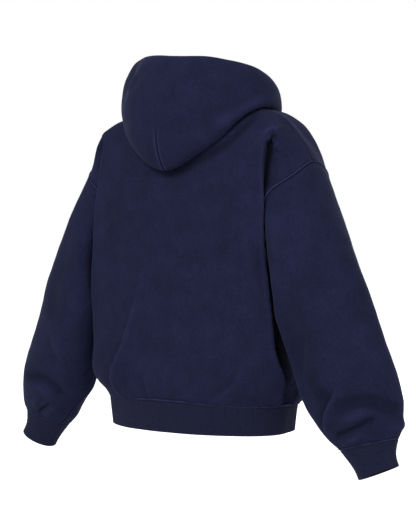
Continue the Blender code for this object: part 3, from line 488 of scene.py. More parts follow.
def graded(start, stop, zone, cells, first=True, last=True):
    """Places from start to stop, close together in the zone beside an end that is a seam or an edge."""
    middle = np.linspace(start + zone * first, stop - zone * last, cells + 1)
    before = [start + zone * EDGE_STEPS] if first else []
    after = [stop - zone * EDGE_STEPS[::-1]] if last else []
    return np.concatenate(before + [middle] + after)


FOLD_FROM, FOLD_TO = 0.40, 0.61           # shares of the shoulder above the folds past the armpits
SHOULDER_SHARES = np.concatenate([
    np.linspace(0, FOLD_FROM, 16)[:-1], np.linspace(FOLD_FROM, FOLD_TO, 37)[:-1],
    graded(FOLD_TO, 1, 0.06, 19, first=False)])
DART_FROM, DART_TO = 0.0054, 0.0200       # columns of the back that run under the hood's dart
BACK_NECK_U = np.concatenate([[0, DART_FROM / 2], np.linspace(DART_FROM, DART_TO, 13),
                              np.linspace(DART_TO, BACK_NECK_SHARE, 23)[1:]])
HALF_BACK = np.concatenate([BACK_NECK_U[:-1], BACK_NECK_SHARE + (1 - BACK_NECK_SHARE) * SHOULDER_SHARES])
BACK_U = np.concatenate([-HALF_BACK[:0:-1], HALF_BACK])
FRONT_NECK_U = graded(0, FRONT_NECK_SHARE, 0.036, 30, last=False)
FRONT_U = np.concatenate([FRONT_NECK_U[:-1], FRONT_NECK_SHARE + (1 - FRONT_NECK_SHARE) * SHOULDER_SHARES])
ARM_ROWS = graded(0, ARMPIT_ROW, 0.02, 68)
BODY_ROWS = np.concatenate([ARM_ROWS[:-1], graded(ARMPIT_ROW, 1, 0.02, 64, first=False)])
ARM_ANGLES = row_angles(ARM_ROWS)
SLEEVE_DEGREES = np.concatenate([360 - ARM_ANGLES[:0:-1], ARM_ANGLES[:-1]])
STACKS_FROM = 0.74                        # row of the sleeve below which it stacks above the cuff
SLEEVE_ROWS = np.concatenate([graded(0, STACKS_FROM, 0.026, 70, last=False)[:-1],
                              graded(STACKS_FROM, 1, 0.026, 66, first=False)])
HOOD_ROWS = graded(0, 1, 0.030, 100)


def neck_degrees():
    """Plan angles of the neck seam's samples, from one end of the hood round to the other."""
    back = neck_line(BACK_NECK_U / BACK_NECK_SHARE * NECK_AT_SHOULDER)
    front = neck_line(1 - FRONT_NECK_U[::-1] / FRONT_NECK_SHARE * (1 - NECK_AT_SHOULDER))
    half = np.vstack([back, front[1:]])
    angle = np.degrees(np.arctan2(half[:, 0], half[:, 1]))
    return np.concatenate([-angle[:0:-1], angle])


for title, rows, columns in (("back", BODY_ROWS, BACK_U), ("front", BODY_ROWS, FRONT_U),
                             ("sleeve", SLEEVE_ROWS, SLEEVE_DEGREES),
                             ("hood", HOOD_ROWS, neck_degrees())):
    print(title, "grid", len(rows), "x", len(columns))

# %% [markdown]
# ## A piece of cloth
# Each piece is a grid of points on the middle of its wall.  Creases, seams and ribs are all heights above
# that surface, in metres, added up in `lift` and applied along the surface's own direction.  `shade` is
# painted shade, at the bottom of seams and in the deepest creases, and `light` is a painted highlight, on
# the lips and welts.

# %% Grids of cloth
def normals(points, closed):
    """Unit normals of a grid of points, pointing the way that u x v points."""
    if closed:
        wide = np.concatenate([points[:, -1:], points, points[:, :1]], 1)
        du = wide[:, 2:] - wide[:, :-2]
    else:
        du = np.gradient(points, axis=1)
    dv = np.gradient(points, axis=0)
    return unit_vectors(np.cross(dv, du))


class Cloth:
    """A grid of points on the cloth's middle surface, with the direction of its thickness."""

    def __init__(self, name, rows, columns, points, thick, outwards, closed=False):
        self.name = name
        self.rows = rows
        self.columns = columns
        self.points = points
        self.thick = np.full(points.shape[:2], thick)
        self.outwards = outwards
        self.closed = closed
        self.across = outwards * normals(points, closed)
        self.lift = np.zeros(points.shape[:2])
        # painted shade and painted highlight, from 0 to 1, which the materials mix into the colour
        self.shade = np.zeros(points.shape[:2])
        self.light = np.zeros(points.shape[:2])

    def run_from(self, edge):
        """Distance of each point from the piece's top, bottom, start or end edge, along the cloth."""
        axis = 0 if edge in ("top", "bottom") else 1
        steps = np.linalg.norm(np.diff(self.points, axis=axis), axis=-1)
        run = np.cumsum(steps, axis)
        run = np.concatenate([np.zeros_like(run.take([0], axis)), run], axis)
        return run.take([-1], axis) - run if edge in ("bottom", "end") else run

    def settle(self):
        """Applies the heights gathered so far."""
        self.points = self.points + self.lift[:, :, None] * self.across
        self.lift = np.zeros_like(self.lift)
        self.across = self.outwards * normals(self.points, self.closed)

    def edge_cells(self):
        """Row and column of each edge point, with the steps that lead from it into the piece."""
        rows, columns = self.points.shape[:2]
        cells = []
        for i in range(rows):
            sides = range(columns) if i in (0, rows - 1) else ((0, columns - 1) if not self.closed else ())
            for j in sides:
                steps = []
                if i in (0, rows - 1):
                    steps.append((1 if i == 0 else -1, 0))
                if j in (0, columns - 1) and not self.closed:
                    steps.append((0, 1 if j == 0 else -1))
                cells.append((i, j, steps))
        return cells

    def inwards(self, i, j, steps):
        """Unit direction from an edge point into the piece, square to the edge except at a corner."""
        start = self.points[i, j]
        way = sum(unit_vectors(self.points[i + di, j + dj] - start) for di, dj in steps)
        if len(steps) == 1:
            if steps[0][0]:
                edge = self.points[i, (j + 1) % self.points.shape[1]] - self.points[i, j - 1]
            else:
                edge = self.points[i + 1, j] - self.points[i - 1, j]
            edge = unit_vectors(edge)
            way = way - (way @ edge) * edge
        return unit_vectors(way)


# %% The sleeve's seam, which twists to the back above the cuff
SEAM_TWIST = [  # row of the sleeve, degrees that its seam has turned by there
    (0.30, 0.0), (0.55, 9.0), (0.715, 11.5), (0.794, 4.3), (0.892, -10.0), (0.964, -22.0), (1.0, -27.0),
]
TWIST_REACH = 80             # degrees from the seam over which the columns follow it


def sleeve_along_its_seam(rows, degrees):
    """The sleeve's points, with the first column led along the seam."""
    fine = np.arange(0, 360.01, 0.25)
    rings_of = sleeve_surface(rows, fine)
    points = sleeve_surface(rows, degrees)
    twist_rows, twists = np.array(SEAM_TWIST).T
    turns = spline_weights(twist_rows, rows) @ twists
    from_seam = np.abs((degrees % 360) - 180)
    for i, turn in enumerate(turns):
        if rows[i] > twist_rows[0]:
            led = (degrees + turn * ease(1 - from_seam / TWIST_REACH)) % 360
            points[i] = np.stack([np.interp(led, fine, rings_of[i, :, axis]) for axis in range(3)], -1)
    return points


# %% The fleece pieces before they are creased
def mirrored(name, piece):
    """The other side's copy of a piece."""
    return Cloth(name, piece.rows, piece.columns, piece.points * (-1, 1, 1), piece.thick[0, 0],
                 -piece.outwards, piece.closed)


back = Cloth("back", BODY_ROWS, BACK_U, body_panel(BACK_COLUMNS, BACK, 1, BACK_U, BODY_ROWS), WALL, -1)
front_left = Cloth("front_left", BODY_ROWS, FRONT_U,
                   body_panel(FRONT_COLUMNS, FRONT, -1, FRONT_U, BODY_ROWS), WALL, 1)
sleeve_left = Cloth("sleeve_left", SLEEVE_ROWS, SLEEVE_DEGREES,
                    sleeve_along_its_seam(SLEEVE_ROWS, SLEEVE_DEGREES), WALL, 1, closed=True)
hood = Cloth("hood", HOOD_ROWS, neck_degrees(), hood_surface(HOOD_ROWS, neck_degrees()), WALL, 1)
front_right = mirrored("front_right", front_left)
sleeve_right = mirrored("sleeve_right", sleeve_left)
fleece_pieces = [back, front_left, front_right, sleeve_left, sleeve_right, hood]
print("fleece pieces:", [piece.name for piece in fleece_pieces])

# %% [markdown]
# ## Listed creases
# Cloth creases where it is slack and pushed: beside the armpits, above the cuffs and above the hem band.
# A simulation would put them anywhere, so each main one is drawn instead, as a soft line on the cloth: a
# ridge where its height is positive and a trough where it is negative.  A crease dies away at its ends.

# %% A smooth line on a piece
def line_on(piece, line, count=33):
    """Points along a line of (row, column), how far along each is, and any further numbers of its knots."""
    knots = np.array(line, float)
    fine = np.linspace(0, 1, count)
    places = spline_weights(np.linspace(0, 1, len(knots)), fine) @ knots if len(knots) > 2 else (
        knots[0] + fine[:, None] * (knots[-1] - knots[0]))
    columns = piece.columns
    turn = 360 if piece.closed else None
    if turn:
        order = np.argsort(columns % turn)
        columns_sorted = columns[order] % turn
        j = np.interp(places[:, 1] % turn, np.append(columns_sorted, columns_sorted[0] + turn),
                      np.arange(len(columns) + 1))
        grid = piece.points[:, order]
        grid = np.concatenate([grid, grid[:, :1]], 1)
    else:
        j = np.interp(places[:, 1], columns, np.arange(len(columns)))
        grid = piece.points
    i = np.interp(places[:, 0], piece.rows, np.arange(len(piece.rows)))
    i0, j0 = np.minimum(i.astype(int), grid.shape[0] - 2), np.minimum(j.astype(int), grid.shape[1] - 2)
    fi, fj = (i - i0)[:, None], (j - j0)[:, None]
    spine = ((1 - fi) * ((1 - fj) * grid[i0, j0] + fj * grid[i0, j0 + 1])
             + fi * ((1 - fj) * grid[i0 + 1, j0] + fj * grid[i0 + 1, j0 + 1]))
    return spine, fine, places[:, 2:]


# %% Soft creases, and painted shade in deep hollows
CREASE_END = 0.35            # share of a crease's length over which each end dies away
HOLLOW_END = 0.12
LIGHTEST, DARKEST = 0.22, 0.30      # most painted highlight on a crease's top, and most painted shade in its bottom


def crease(piece, table, tone=1.0):
    """Soft creases: width and height in mm, then the line.  The tone scales the painted highlight on a ridge
    and the painted shade in a trough.
    """
    for wide, rise, *line in table:
        spine, fine, _ = line_on(piece, line)
        strength = ease(fine / CREASE_END) * ease((1 - fine) / CREASE_END)
        away = np.linalg.norm(piece.points[:, :, None] - spine, axis=-1)
        # the nearest part of the line decides, and the strength makes its ends run out softly
        near = (np.exp(-(away / (wide * MM)) ** 2) * strength).max(-1)
        piece.lift += rise * MM * near
        # a ridge gets a painted highlight along its top, and a trough painted shade along its bottom
        if rise > 0:
            piece.light = np.maximum(piece.light, tone * min(rise / 20, LIGHTEST) * near ** 4)
        else:
            piece.shade = np.maximum(piece.shade, tone * min(-rise / 24, DARKEST) * near ** 2)


def paint_hollow_shade(piece, table):
    """Painted shade on cloth deep between two others: width in mm, darkness, then the line."""
    for wide, dark, *line in table:
        spine, fine, _ = line_on(piece, line)
        ends = ease(fine / HOLLOW_END) * ease((1 - fine) / HOLLOW_END)
        away = np.linalg.norm(piece.points[:, :, None] - spine, axis=-1)
        near = np.exp(-np.maximum(away / (wide * MM) - 0.5, 0) ** 2 * 4) * ends
        piece.shade = np.maximum(piece.shade, dark * near.max(-1))


# %% Folds that hang over themselves
FOLD_CLEAR = 9 * MM          # a fold is whole from this far off a seam, where it has run out
FOLD_END = 14 * MM           # and it runs out over this length at each of its own ends
PAST_END = 12 * MM           # how softly it ends beyond its line
PAST_LIP = 8 * MM            # where behind the lip the way of its drop is taken
SHADE_REACH = 55 * MM        # the broader the fold, the less far its painted shade reaches
CREST, CREST_HALO = 1.8 * MM, 8 * MM      # the painted highlight line on a lip, and the painted glow beside it


def soften(values, times=6):
    """Evens out a row of directions along a line."""
    for _ in range(times):
        padded = np.concatenate([values[:1], values, values[-1:]])
        values = (padded[:-2] + 2 * padded[1:-1] + padded[2:]) / 4
    return values


def fold(piece, table, seams):
    """Folds, where the cloth rises to a lip and drops behind it, on the right-hand side of the line.

    A row holds the steepness, the breadth at both ends, the drop and the lip in mm, and then (row,
    column, strength) along the line.  The whole drop goes one way, square to the cloth behind the lip,
    so the lip can hang over it."""
    for steep, (broad, last), drop, lip, *line in table:
        steep, broad, last, drop, lip = steep * MM, broad * MM, last * MM, drop * MM, lip * MM
        spine, fine, strength = line_on(piece, line, 121)
        run_out = FOLD_END / np.linalg.norm(np.diff(spine, axis=0), axis=-1).sum()
        ahead = unit_vectors(np.gradient(spine, axis=0))
        flat = piece.points.reshape(-1, 3)
        tree = KDTree(len(flat))
        for k, point in enumerate(flat):
            tree.insert(point, k)
        tree.balance()
        facing = piece.across.reshape(-1, 3)
        at_line = soften(np.array([facing[tree.find(point)[1]] for point in spine]))
        aside = unit_vectors(np.cross(ahead, at_line))
        past_lip = spine + (steep + PAST_LIP) * aside
        behind = soften(np.array([facing[tree.find(point)[1]] for point in past_lip]), 12)
        strength = soften(strength * (ease(fine / run_out) * ease((1 - fine) / run_out))[:, None], 2)
        nearest = np.concatenate([np.linalg.norm(rows[:, :, None] - spine, axis=-1).argmin(-1)
                                  for rows in np.array_split(piece.points, 8)])
        s = ((piece.points - spine[nearest]) * aside[nearest]).sum(-1)
        past_end = ((piece.points - spine[nearest]) * ahead[nearest]).sum(-1)
        hold = strength[nearest][:, :, 0] * np.exp(-(past_end / PAST_END) ** 2)
        for edge in seams:
            hold = hold * ease(piece.run_from(edge) / FOLD_CLEAR)
        breadth = broad + (last - broad) * fine[nearest]
        dropped = ease((s + steep / 2) / steep) * np.exp(-(np.maximum(s, 0) / breadth) ** 2)
        raised = np.exp(-((s + 0.8 * steep) / (1.5 * steep)) ** 2) * (1 - dropped)
        piece.points = (piece.points - (hold * dropped)[:, :, None] * drop * unit_vectors(behind[nearest])
                        + (hold * raised)[:, :, None] * lip * piece.across)
        # painted shade in the drop behind the lip, and a painted highlight along its crest
        piece.shade = np.maximum(piece.shade, hold * dropped * min(drop / (14 * MM), 1)
                                 * np.exp(-(np.maximum(s - steep, 0) / (breadth ** 2 / SHADE_REACH)) ** 2))
        from_crest = s + 0.4 * steep
        piece.light = np.maximum(piece.light, min(lip / (5.5 * MM), 1) * hold * (1 - dropped) * (
            0.7 * np.exp(-(from_crest / CREST) ** 2) + 0.3 * np.exp(-(from_crest / CREST_HALO) ** 2)))
        piece.across = piece.outwards * normals(piece.points, piece.closed)


# %% Folds and creases of the back
BACK_SEAMS = ("top", "bottom", "start", "end")
BACK_FOLDS = [
    # the long folds that fall from behind each arm: up the wearer's right side, down the left
    (3.5, (36, 24), 17, 1.7, (0.99, -0.865, 0.3), (0.972, -0.832, 0.5), (0.95, -0.715, 0.65),
     (0.93, -0.668, 0.75), (0.91, -0.645, 0.75), (0.885, -0.636, 0.8), (0.862, -0.632, 0.8),
     (0.808, -0.640, 1.1), (0.729, -0.650, 1.3), (0.633, -0.642, 1.4), (0.565, -0.641, 1.2),
     (0.483, -0.646, 1), (0.401, -0.656, 1), (0.293, -0.665, 1), (0.214, -0.656, 1), (0.178, -0.641, 1),
     (0.152, -0.616, 0.95), (0.134, -0.604, 0.8), (0.118, -0.607, 0.6), (0.107, -0.626, 0.35),
     (0.100, -0.655, 0.1)),
    (3.5, (24, 36), 14, 2.2, (0.102, 0.636, 0.1), (0.112, 0.606, 0.25), (0.128, 0.590, 0.4),
     (0.150, 0.604, 0.55), (0.176, 0.636, 0.8), (0.226, 0.664, 1), (0.327, 0.668, 0.9), (0.483, 0.650, 0.8),
     (0.633, 0.655, 0.7), (0.75, 0.670, 0.6), (0.86, 0.700, 0.4)),
    # the cloth between them and the armholes doubles over near the shoulders
    (6, (14, 14), 3.0, 2.8, (0.165, -0.590, 0.3), (0.140, -0.568, 0.8), (0.115, -0.568, 1),
     (0.098, -0.592, 1), (0.089, -0.625, 1), (0.084, -0.665, 0.6)),
    (6, (14, 14), 2.5, 2.2, (0.084, 0.665, 0.4), (0.089, 0.625, 0.8), (0.098, 0.592, 0.8),
     (0.115, 0.568, 0.6), (0.140, 0.568, 0.4)),
    # short folds above the band
    (7, (30, 24), 4.6, 2.6, (0.60, 0.195, 0.1), (0.68, 0.225, 0.4), (0.78, 0.275, 0.85), (0.845, 0.315, 1),
     (0.89, 0.333, 1), (0.94, 0.372, 1), (0.985, 0.440, 1)),
    (5, (16, 14), 3.2, 1.0, (0.885, 0.140, 0.15), (0.94, 0.138, 0.8), (0.99, 0.130, 1)),
    (9, (24, 20), 2.8, 0.9, (0.80, -0.450, 0.15), (0.87, -0.410, 0.7), (0.93, -0.370, 1),
     (0.99, -0.335, 0.9)),
]
fold(back, BACK_FOLDS, BACK_SEAMS)
BACK_CREASES = [  # width and height in mm, then (row, column) along the line
    (16, -2.8, (0.98, -0.26), (0.92, -0.28), (0.84, -0.32)),
    (15, -2.0, (0.98, -0.45), (0.90, -0.50), (0.82, -0.55)),
    (14, 1.6, (0.99, 0.02), (0.90, -0.03), (0.82, -0.05)),
    (18, -2.6, (0.97, 0.56), (0.88, 0.46), (0.78, 0.37), (0.68, 0.32)),
    (20, -2.4, (0.97, 0.30), (0.90, 0.22), (0.84, 0.18)),
    (26, -2.4, (0.22, 0.46), (0.42, 0.40), (0.58, 0.34)),
    (26, -2.0, (0.24, -0.42), (0.42, -0.36), (0.58, -0.30)),
]
crease(back, BACK_CREASES)
# painted shade: the hood's shadow on the back, and the shade deep in the fold behind the wearer's right arm,
# down to the band
paint_hollow_shade(back, [  # under the hood
    (10, 0.5, (0.162, 0.226), (0.21, 0.146), (0.24, 0.066), (0.253, -0.014), (0.236, -0.118), (0.194, -0.23),
     (0.15, -0.331), (0.096, -0.423), (0.042, -0.475)),
    # in the mouth of the fold behind the wearer's right arm, and where it reaches the band
    (10, 1.0, (0.108, -0.650), (0.120, -0.636), (0.134, -0.640), (0.150, -0.660), (0.172, -0.686),
     (0.214, -0.702), (0.27, -0.71), (0.34, -0.71)),
    (14, 0.95, (0.60, -0.80), (0.70, -0.80), (0.78, -0.79), (0.83, -0.77)),
    (20, 0.95, (0.46, -0.745), (0.56, -0.745), (0.66, -0.745), (0.74, -0.742), (0.80, -0.735),
     (0.86, -0.725)),
    (3, 0.8, (0.900, -0.655), (0.93, -0.682), (0.95, -0.732), (0.972, -0.845), (0.992, -0.875)),
])
print("back:", len(BACK_FOLDS), "folds and", len(BACK_CREASES), "creases")

# %% [markdown]
# The fronts hang from the zip, which doesn't stretch, so their slack lies at the armpit and above the band.

# %% Folds and creases of the fronts
FRONT_FOLDS = [
    (5, (22, 22), 9, 1.6, (0.170, 0.780, 0.1), (0.200, 0.755, 0.5), (0.240, 0.742, 1), (0.29, 0.742, 1),
     (0.36, 0.755, 0.8), (0.48, 0.770, 0.5), (0.60, 0.780, 0.3)),
]
FRONT_SEAMS = ("top", "bottom", "end")
fold(front_left, FRONT_FOLDS, FRONT_SEAMS)
# the same line drawn from its other end, because a fold drops to the right of its line
fold(front_right, [(steep, broad, drop, lip, *reversed(line))
                   for steep, broad, drop, lip, *line in FRONT_FOLDS], FRONT_SEAMS)
FRONT_CREASES = [
    (32, -1.5, (0.05, 0.30), (0.06, 0.50), (0.075, 0.70), (0.10, 0.88)),
    (15, -3.0, (0.52, 0.84), (0.44, 0.66), (0.38, 0.50), (0.34, 0.36)),
    (13, 2.6, (0.56, 0.82), (0.50, 0.64), (0.44, 0.50), (0.40, 0.38)),
    (13, 3.0, (0.98, 0.62), (0.88, 0.53), (0.78, 0.47), (0.70, 0.44)),
    (13, -2.4, (0.98, 0.52), (0.89, 0.43), (0.80, 0.38)),
    (11, 2.4, (1.00, 0.30), (0.93, 0.27), (0.84, 0.26)),
    (11, -1.8, (1.00, 0.20), (0.94, 0.18), (0.87, 0.17)),
    (12, 2.2, (0.99, 0.80), (0.92, 0.76), (0.86, 0.74)),
]
crease(front_left, FRONT_CREASES)
# the right front creases a little less, a little lower and nearer the zip
LESS, LOWER, NEARER = 0.85, 0.012, 0.96
crease(front_right, [(wide, rise * LESS, *[(row + LOWER, column * NEARER) for row, column in line])
                     for wide, rise, *line in FRONT_CREASES])
print("each front:", len(FRONT_FOLDS), "fold and", len(FRONT_CREASES), "creases")

# %% [markdown]
# A sleeve that is longer than the arm stacks above its cuff in short diagonal rolls.  The two sleeves are
# cut alike but never stack alike.

# %% Creases of the right sleeve: degrees run from the top of the sleeve to its back and on round it
RIGHT_SLEEVE_FOLDS = [
    (7, (26, 22), 3.6, 1.0, (0.54, 93, 0.1), (0.59, 100, 0.7), (0.64, 112, 1), (0.70, 127, 0.5)),
    (5, (26, 22), 5.5, 2.6, (0.765, 78, 0.1), (0.80, 86, 0.6), (0.835, 100, 1), (0.885, 121, 1),
     (0.92, 140, 0.3)),
]
RIGHT_SLEEVE_CREASES = [
    (30, 8, (0.00, 110), (0.07, 105), (0.14, 105), (0.21, 108), (0.27, 111)),        # lies against the body
    (24, 7, (0.05, 112), (0.12, 113), (0.20, 114), (0.28, 116), (0.36, 117)),
    (36, -14, (0.36, 113), (0.46, 115), (0.57, 117), (0.68, 121), (0.80, 124)),
    (46, -4.0, (0.20, -12), (0.34, -9), (0.48, -8), (0.60, -8)),
    (20, -8.0, (0.845, 90), (0.852, 76), (0.858, 57), (0.868, 41), (0.89, 20)),
    (14, 6.0, (0.915, 108), (0.905, 86), (0.900, 70), (0.898, 54), (0.925, 28)),
    (8, -8.5, (0.955, 122), (0.946, 108), (0.940, 84), (0.928, 60), (0.922, 46)),
    (9, 5.5, (0.978, 120), (0.974, 100), (0.968, 84), (0.965, 66)),
    (10, 5.0, (0.955, 34), (0.962, 12), (0.960, -14), (0.955, -34)),
    (22, -2.6, (0.30, 60), (0.42, 76), (0.52, 92)),
    # front of the sleeve
    (9, 3.4, (0.70, 300), (0.75, 285), (0.80, 262), (0.83, 244)),
    (12, -3.6, (0.74, 304), (0.79, 290), (0.84, 268), (0.87, 250)),
    (11, 4.2, (0.83, 318), (0.875, 292), (0.90, 262), (0.91, 238)),
    (9, -4.0, (0.90, 326), (0.93, 296), (0.945, 262), (0.95, 236)),
    (10, 2.8, (0.965, 320), (0.972, 290), (0.972, 262)),
    (10, 2.6, (0.50, 262), (0.44, 240), (0.36, 222)),
    (13, -3.0, (0.56, 258), (0.48, 238), (0.40, 220)),
    (11, 3.0, (0.86, 20), (0.885, 0), (0.89, -24)),
    (9, -3.2, (0.93, 24), (0.94, 0), (0.935, -28)),
]
fold(sleeve_right, RIGHT_SLEEVE_FOLDS, ("top", "bottom"))
crease(sleeve_right, RIGHT_SLEEVE_CREASES)
# painted shade where the sleeve lies against the body, and in the troughs of its rolls above the cuff
paint_hollow_shade(sleeve_right, [
    (16, 0.8, (0.00, 118), (0.08, 117), (0.16, 120), (0.24, 126)),
    (26, 0.15, (0.34, 92), (0.46, 93), (0.57, 100), (0.64, 106)),
    (16, 0.38, (0.70, 106), (0.77, 101.5), (0.82, 98)),
    (15, 0.42, (0.85, 88), (0.852, 76), (0.858, 57), (0.868, 41), (0.896, 24), (0.90, 8)),
    (6, 0.45, (0.953, 120), (0.946, 108), (0.940, 84), (0.928, 60), (0.922, 46)),
])
print("right sleeve:", len(RIGHT_SLEEVE_FOLDS), "folds and", len(RIGHT_SLEEVE_CREASES), "creases")

# %% Creases of the left sleeve
LEFT_SLEEVE_FOLDS = [
    (3.5, (14, 14), 5.0, 1.4, (0.985, 88, 0.5), (0.955, 97, 1), (0.925, 110, 1), (0.900, 124, 0.5)),
]
LEFT_SLEEVE_CREASES = [
    (48, -4.5, (0.10, 60), (0.24, 62), (0.38, 68), (0.50, 68), (0.62, 62)),
    (36, 9, (0.62, 180), (0.68, 186), (0.74, 188), (0.79, 186), (0.84, 184)),
    (15, -7.0, (0.845, 60), (0.82, 82), (0.812, 104), (0.830, 124), (0.855, 142)),
    (12, 6.5, (0.885, 64), (0.865, 88), (0.862, 112), (0.885, 136)),
    (7, 3.8, (0.960, 76), (0.925, 92), (0.900, 102)),
    (9, 4.0, (0.985, 112), (0.955, 122), (0.925, 134), (0.915, 148)),
    (11, 2.6, (0.60, 96), (0.65, 108), (0.71, 126)),
    (13, -2.4, (0.62, 84), (0.67, 96), (0.73, 112)),
    (22, -2.4, (0.30, 64), (0.42, 80), (0.52, 96)),
    # front of the sleeve
    (9, 3.2, (0.72, 302), (0.77, 284), (0.81, 262), (0.85, 242)),
    (12, -3.4, (0.76, 306), (0.81, 288), (0.85, 266), (0.88, 248)),
    (11, 4.0, (0.86, 322), (0.895, 296), (0.91, 266), (0.905, 240)),
    (9, -3.8, (0.92, 322), (0.945, 294), (0.955, 264), (0.95, 238)),
    (10, 2.6, (0.46, 264), (0.41, 242), (0.34, 224)),
    (13, -2.8, (0.52, 260), (0.46, 240), (0.38, 222)),
    (11, 2.8, (0.87, 28), (0.895, 4), (0.90, -20)),
    (9, -3.0, (0.935, 28), (0.95, 4), (0.945, -24)),
]
fold(sleeve_left, LEFT_SLEEVE_FOLDS, ("top", "bottom"))
crease(sleeve_left, LEFT_SLEEVE_CREASES)
# painted shade in the troughs of the rolls above the cuff
paint_hollow_shade(sleeve_left, [
    (9, 0.38, (0.868, 50), (0.845, 66), (0.812, 86), (0.808, 104), (0.828, 120), (0.846, 144)),
    (8, 0.30, (0.98, 84), (0.955, 96), (0.935, 100)),
])
print("left sleeve:", len(LEFT_SLEEVE_FOLDS), "fold and", len(LEFT_SLEEVE_CREASES), "creases")

# %% [markdown]
# The hood lies down the back.  Its one seam there is a dart, sewn from the inside: the thread pulls the
# cloth into a narrow groove, and the fleece puffs up on both sides of it.

# %% Creases of the hood
HOOD_CREASES = [
    (30, -10, (0.58, 41), (0.68, 39), (0.76, 38), (0.86, 39)),
    (7, 3.2, (0.665, 33), (0.70, 28), (0.735, 26), (0.775, 25)),
    (9, -3.0, (0.67, 24), (0.71, 20), (0.75, 18)),
    (9, 2.6, (0.475, -58), (0.490, -70), (0.515, -81), (0.55, -90), (0.60, -100)),
    (16, -2.6, (0.60, 66), (0.52, 84), (0.46, 104)),
    (18, 2.2, (0.42, 34), (0.40, 52), (0.41, 70)),
    (18, 2.2, (0.42, -28), (0.40, -46), (0.41, -64)),
    (20, -2.2, (0.52, 20), (0.50, 40), (0.50, 60)),
    (20, -1.8, (0.52, -24), (0.50, -44), (0.50, -62)),
    (15, 2.2, (0.80, -14), (0.82, 10), (0.80, 34)),
    (12, -2.4, (0.87, -40), (0.885, 0), (0.87, 40)),
]
crease(hood, HOOD_CREASES)
# the right half is drawn up a little more than the left, and its turn gets a painted highlight
crease(hood, [(26, -8.5, (0.455, -40), (0.452, -60), (0.450, -80), (0.446, -100), (0.44, -112))], tone=0)
crease(hood, [(26, 1.0, (0.50, -24), (0.49, -48), (0.48, -75), (0.48, -104))], tone=8)
print("hood:", len(HOOD_CREASES) + 2, "creases")

# %% The dart of the hood
DART_DEGREES = -3.1          # plan angle of the dart, a little to the right of the centre back
DART_ROWS = (0.345, 0.548)
DART_PUFF, DART_PUFF_AT, DART_PUFF_WIDE = 1.6 * MM, 4.5 * MM, 3.5 * MM
DART_DEEP, DART_WIDE = 3.2 * MM, 1.3 * MM


def sew_dart(piece, degrees, first, last):
    """A groove between two rows with the cloth puffed up on both sides."""
    across = np.abs(piece.columns - degrees)[None] * np.radians(1) * np.hypot(
        piece.points[:, :, 0], piece.points[:, :, 1])
    rows = piece.rows[:, None]
    share = ease((rows - first) / 0.05) * ease((last - rows) / 0.05)
    puff = DART_PUFF * np.exp(-((across - DART_PUFF_AT) / DART_PUFF_WIDE) ** 2)
    groove = -DART_DEEP * np.exp(-(across / DART_WIDE) ** 2)
    piece.lift += share * (puff + groove)
    # painted shade in the groove, and a painted highlight along each puff
    piece.shade = np.maximum(piece.shade, share * np.exp(-(across / (2.2 * MM)) ** 2))
    piece.light = np.maximum(piece.light, 0.5 * share * np.exp(-((across - 3.8 * MM) / (1.2 * MM)) ** 2))


sew_dart(hood, DART_DEGREES, *DART_ROWS)

# %% [markdown]
# ## Gathers, slackness and seams
# The body and the sleeves are cut a little wider than the bands that they are sewn to, so they ripple just
# above them.  Everywhere else fleece is never quite flat.

# %% Ripples above the bands and slackness everywhere
def ripple(piece, edge, wave, rise, reach, phase):
    """Uneven gathers that fade with distance from an edge."""
    away = piece.run_from(edge)
    round_run = piece.run_from("start")[-1] * np.ones_like(away)
    t = 2 * pi * round_run / wave + phase
    shape = np.sin(t + 0.9 * np.sin(0.37 * t + 1.3)) * (0.65 + 0.35 * np.sin(0.61 * t + phase))
    piece.lift += rise * shape * np.exp(-away / reach) * ease(away / (4 * MM))


def slackness(piece, rise, wave, seed):
    """Very shallow, broad unevenness."""
    turn = np.random.default_rng(seed)
    p = piece.points / wave
    total = np.zeros(p.shape[:2])
    for _ in range(5):
        way = unit_vectors(turn.normal(size=3)) * turn.uniform(0.7, 1.5)
        total += np.sin(2 * pi * (p @ way) + turn.uniform(0, 2 * pi))
    piece.lift += rise * total / 2.2


RIPPLES = [  # piece, then wave, height and reach in mm, and where along it the waves start
    (back, 34, 2.2, 22, 0.4),
    (front_left, 31, 1.4, 26, 1.9),
    (front_right, 36, 1.4, 26, 3.1),
    (sleeve_left, 24, 1.5, 16, 0.8),
    (sleeve_right, 26, 1.4, 16, 2.6),
]
for piece, wave, rise, reach, phase in RIPPLES:
    ripple(piece, "bottom", wave * MM, rise * MM, reach * MM, phase)
BROAD_SEED, FINE_SEED = 40, 60
for number, piece in enumerate(fleece_pieces):
    slackness(piece, 0.7 * MM, 110 * MM, BROAD_SEED + number)
    slackness(piece, 0.25 * MM, 45 * MM, FINE_SEED + number)

# %% [markdown]
# A seam is the lowest line on the cloth: both pieces turn down into it.  On the body side the seam
# allowance is pressed flat and topstitched, which leaves a narrow welt.

# %% Turning the cloth down into its seams
SEAM_DEEP = 1.9 * MM         # the cloth stands this much above the bottom of its seams
SEAM_WIDE = 1.5 * MM
SEAM_PAINTED_SHADE = 1.3 * MM      # painted shade reaches this close to a seam
SEAM_CALM = 14 * MM          # creases have run out at a seam and are whole again this far from it
FREE_CALM = 25 * MM          # the same at an edge that is sewn to the zip


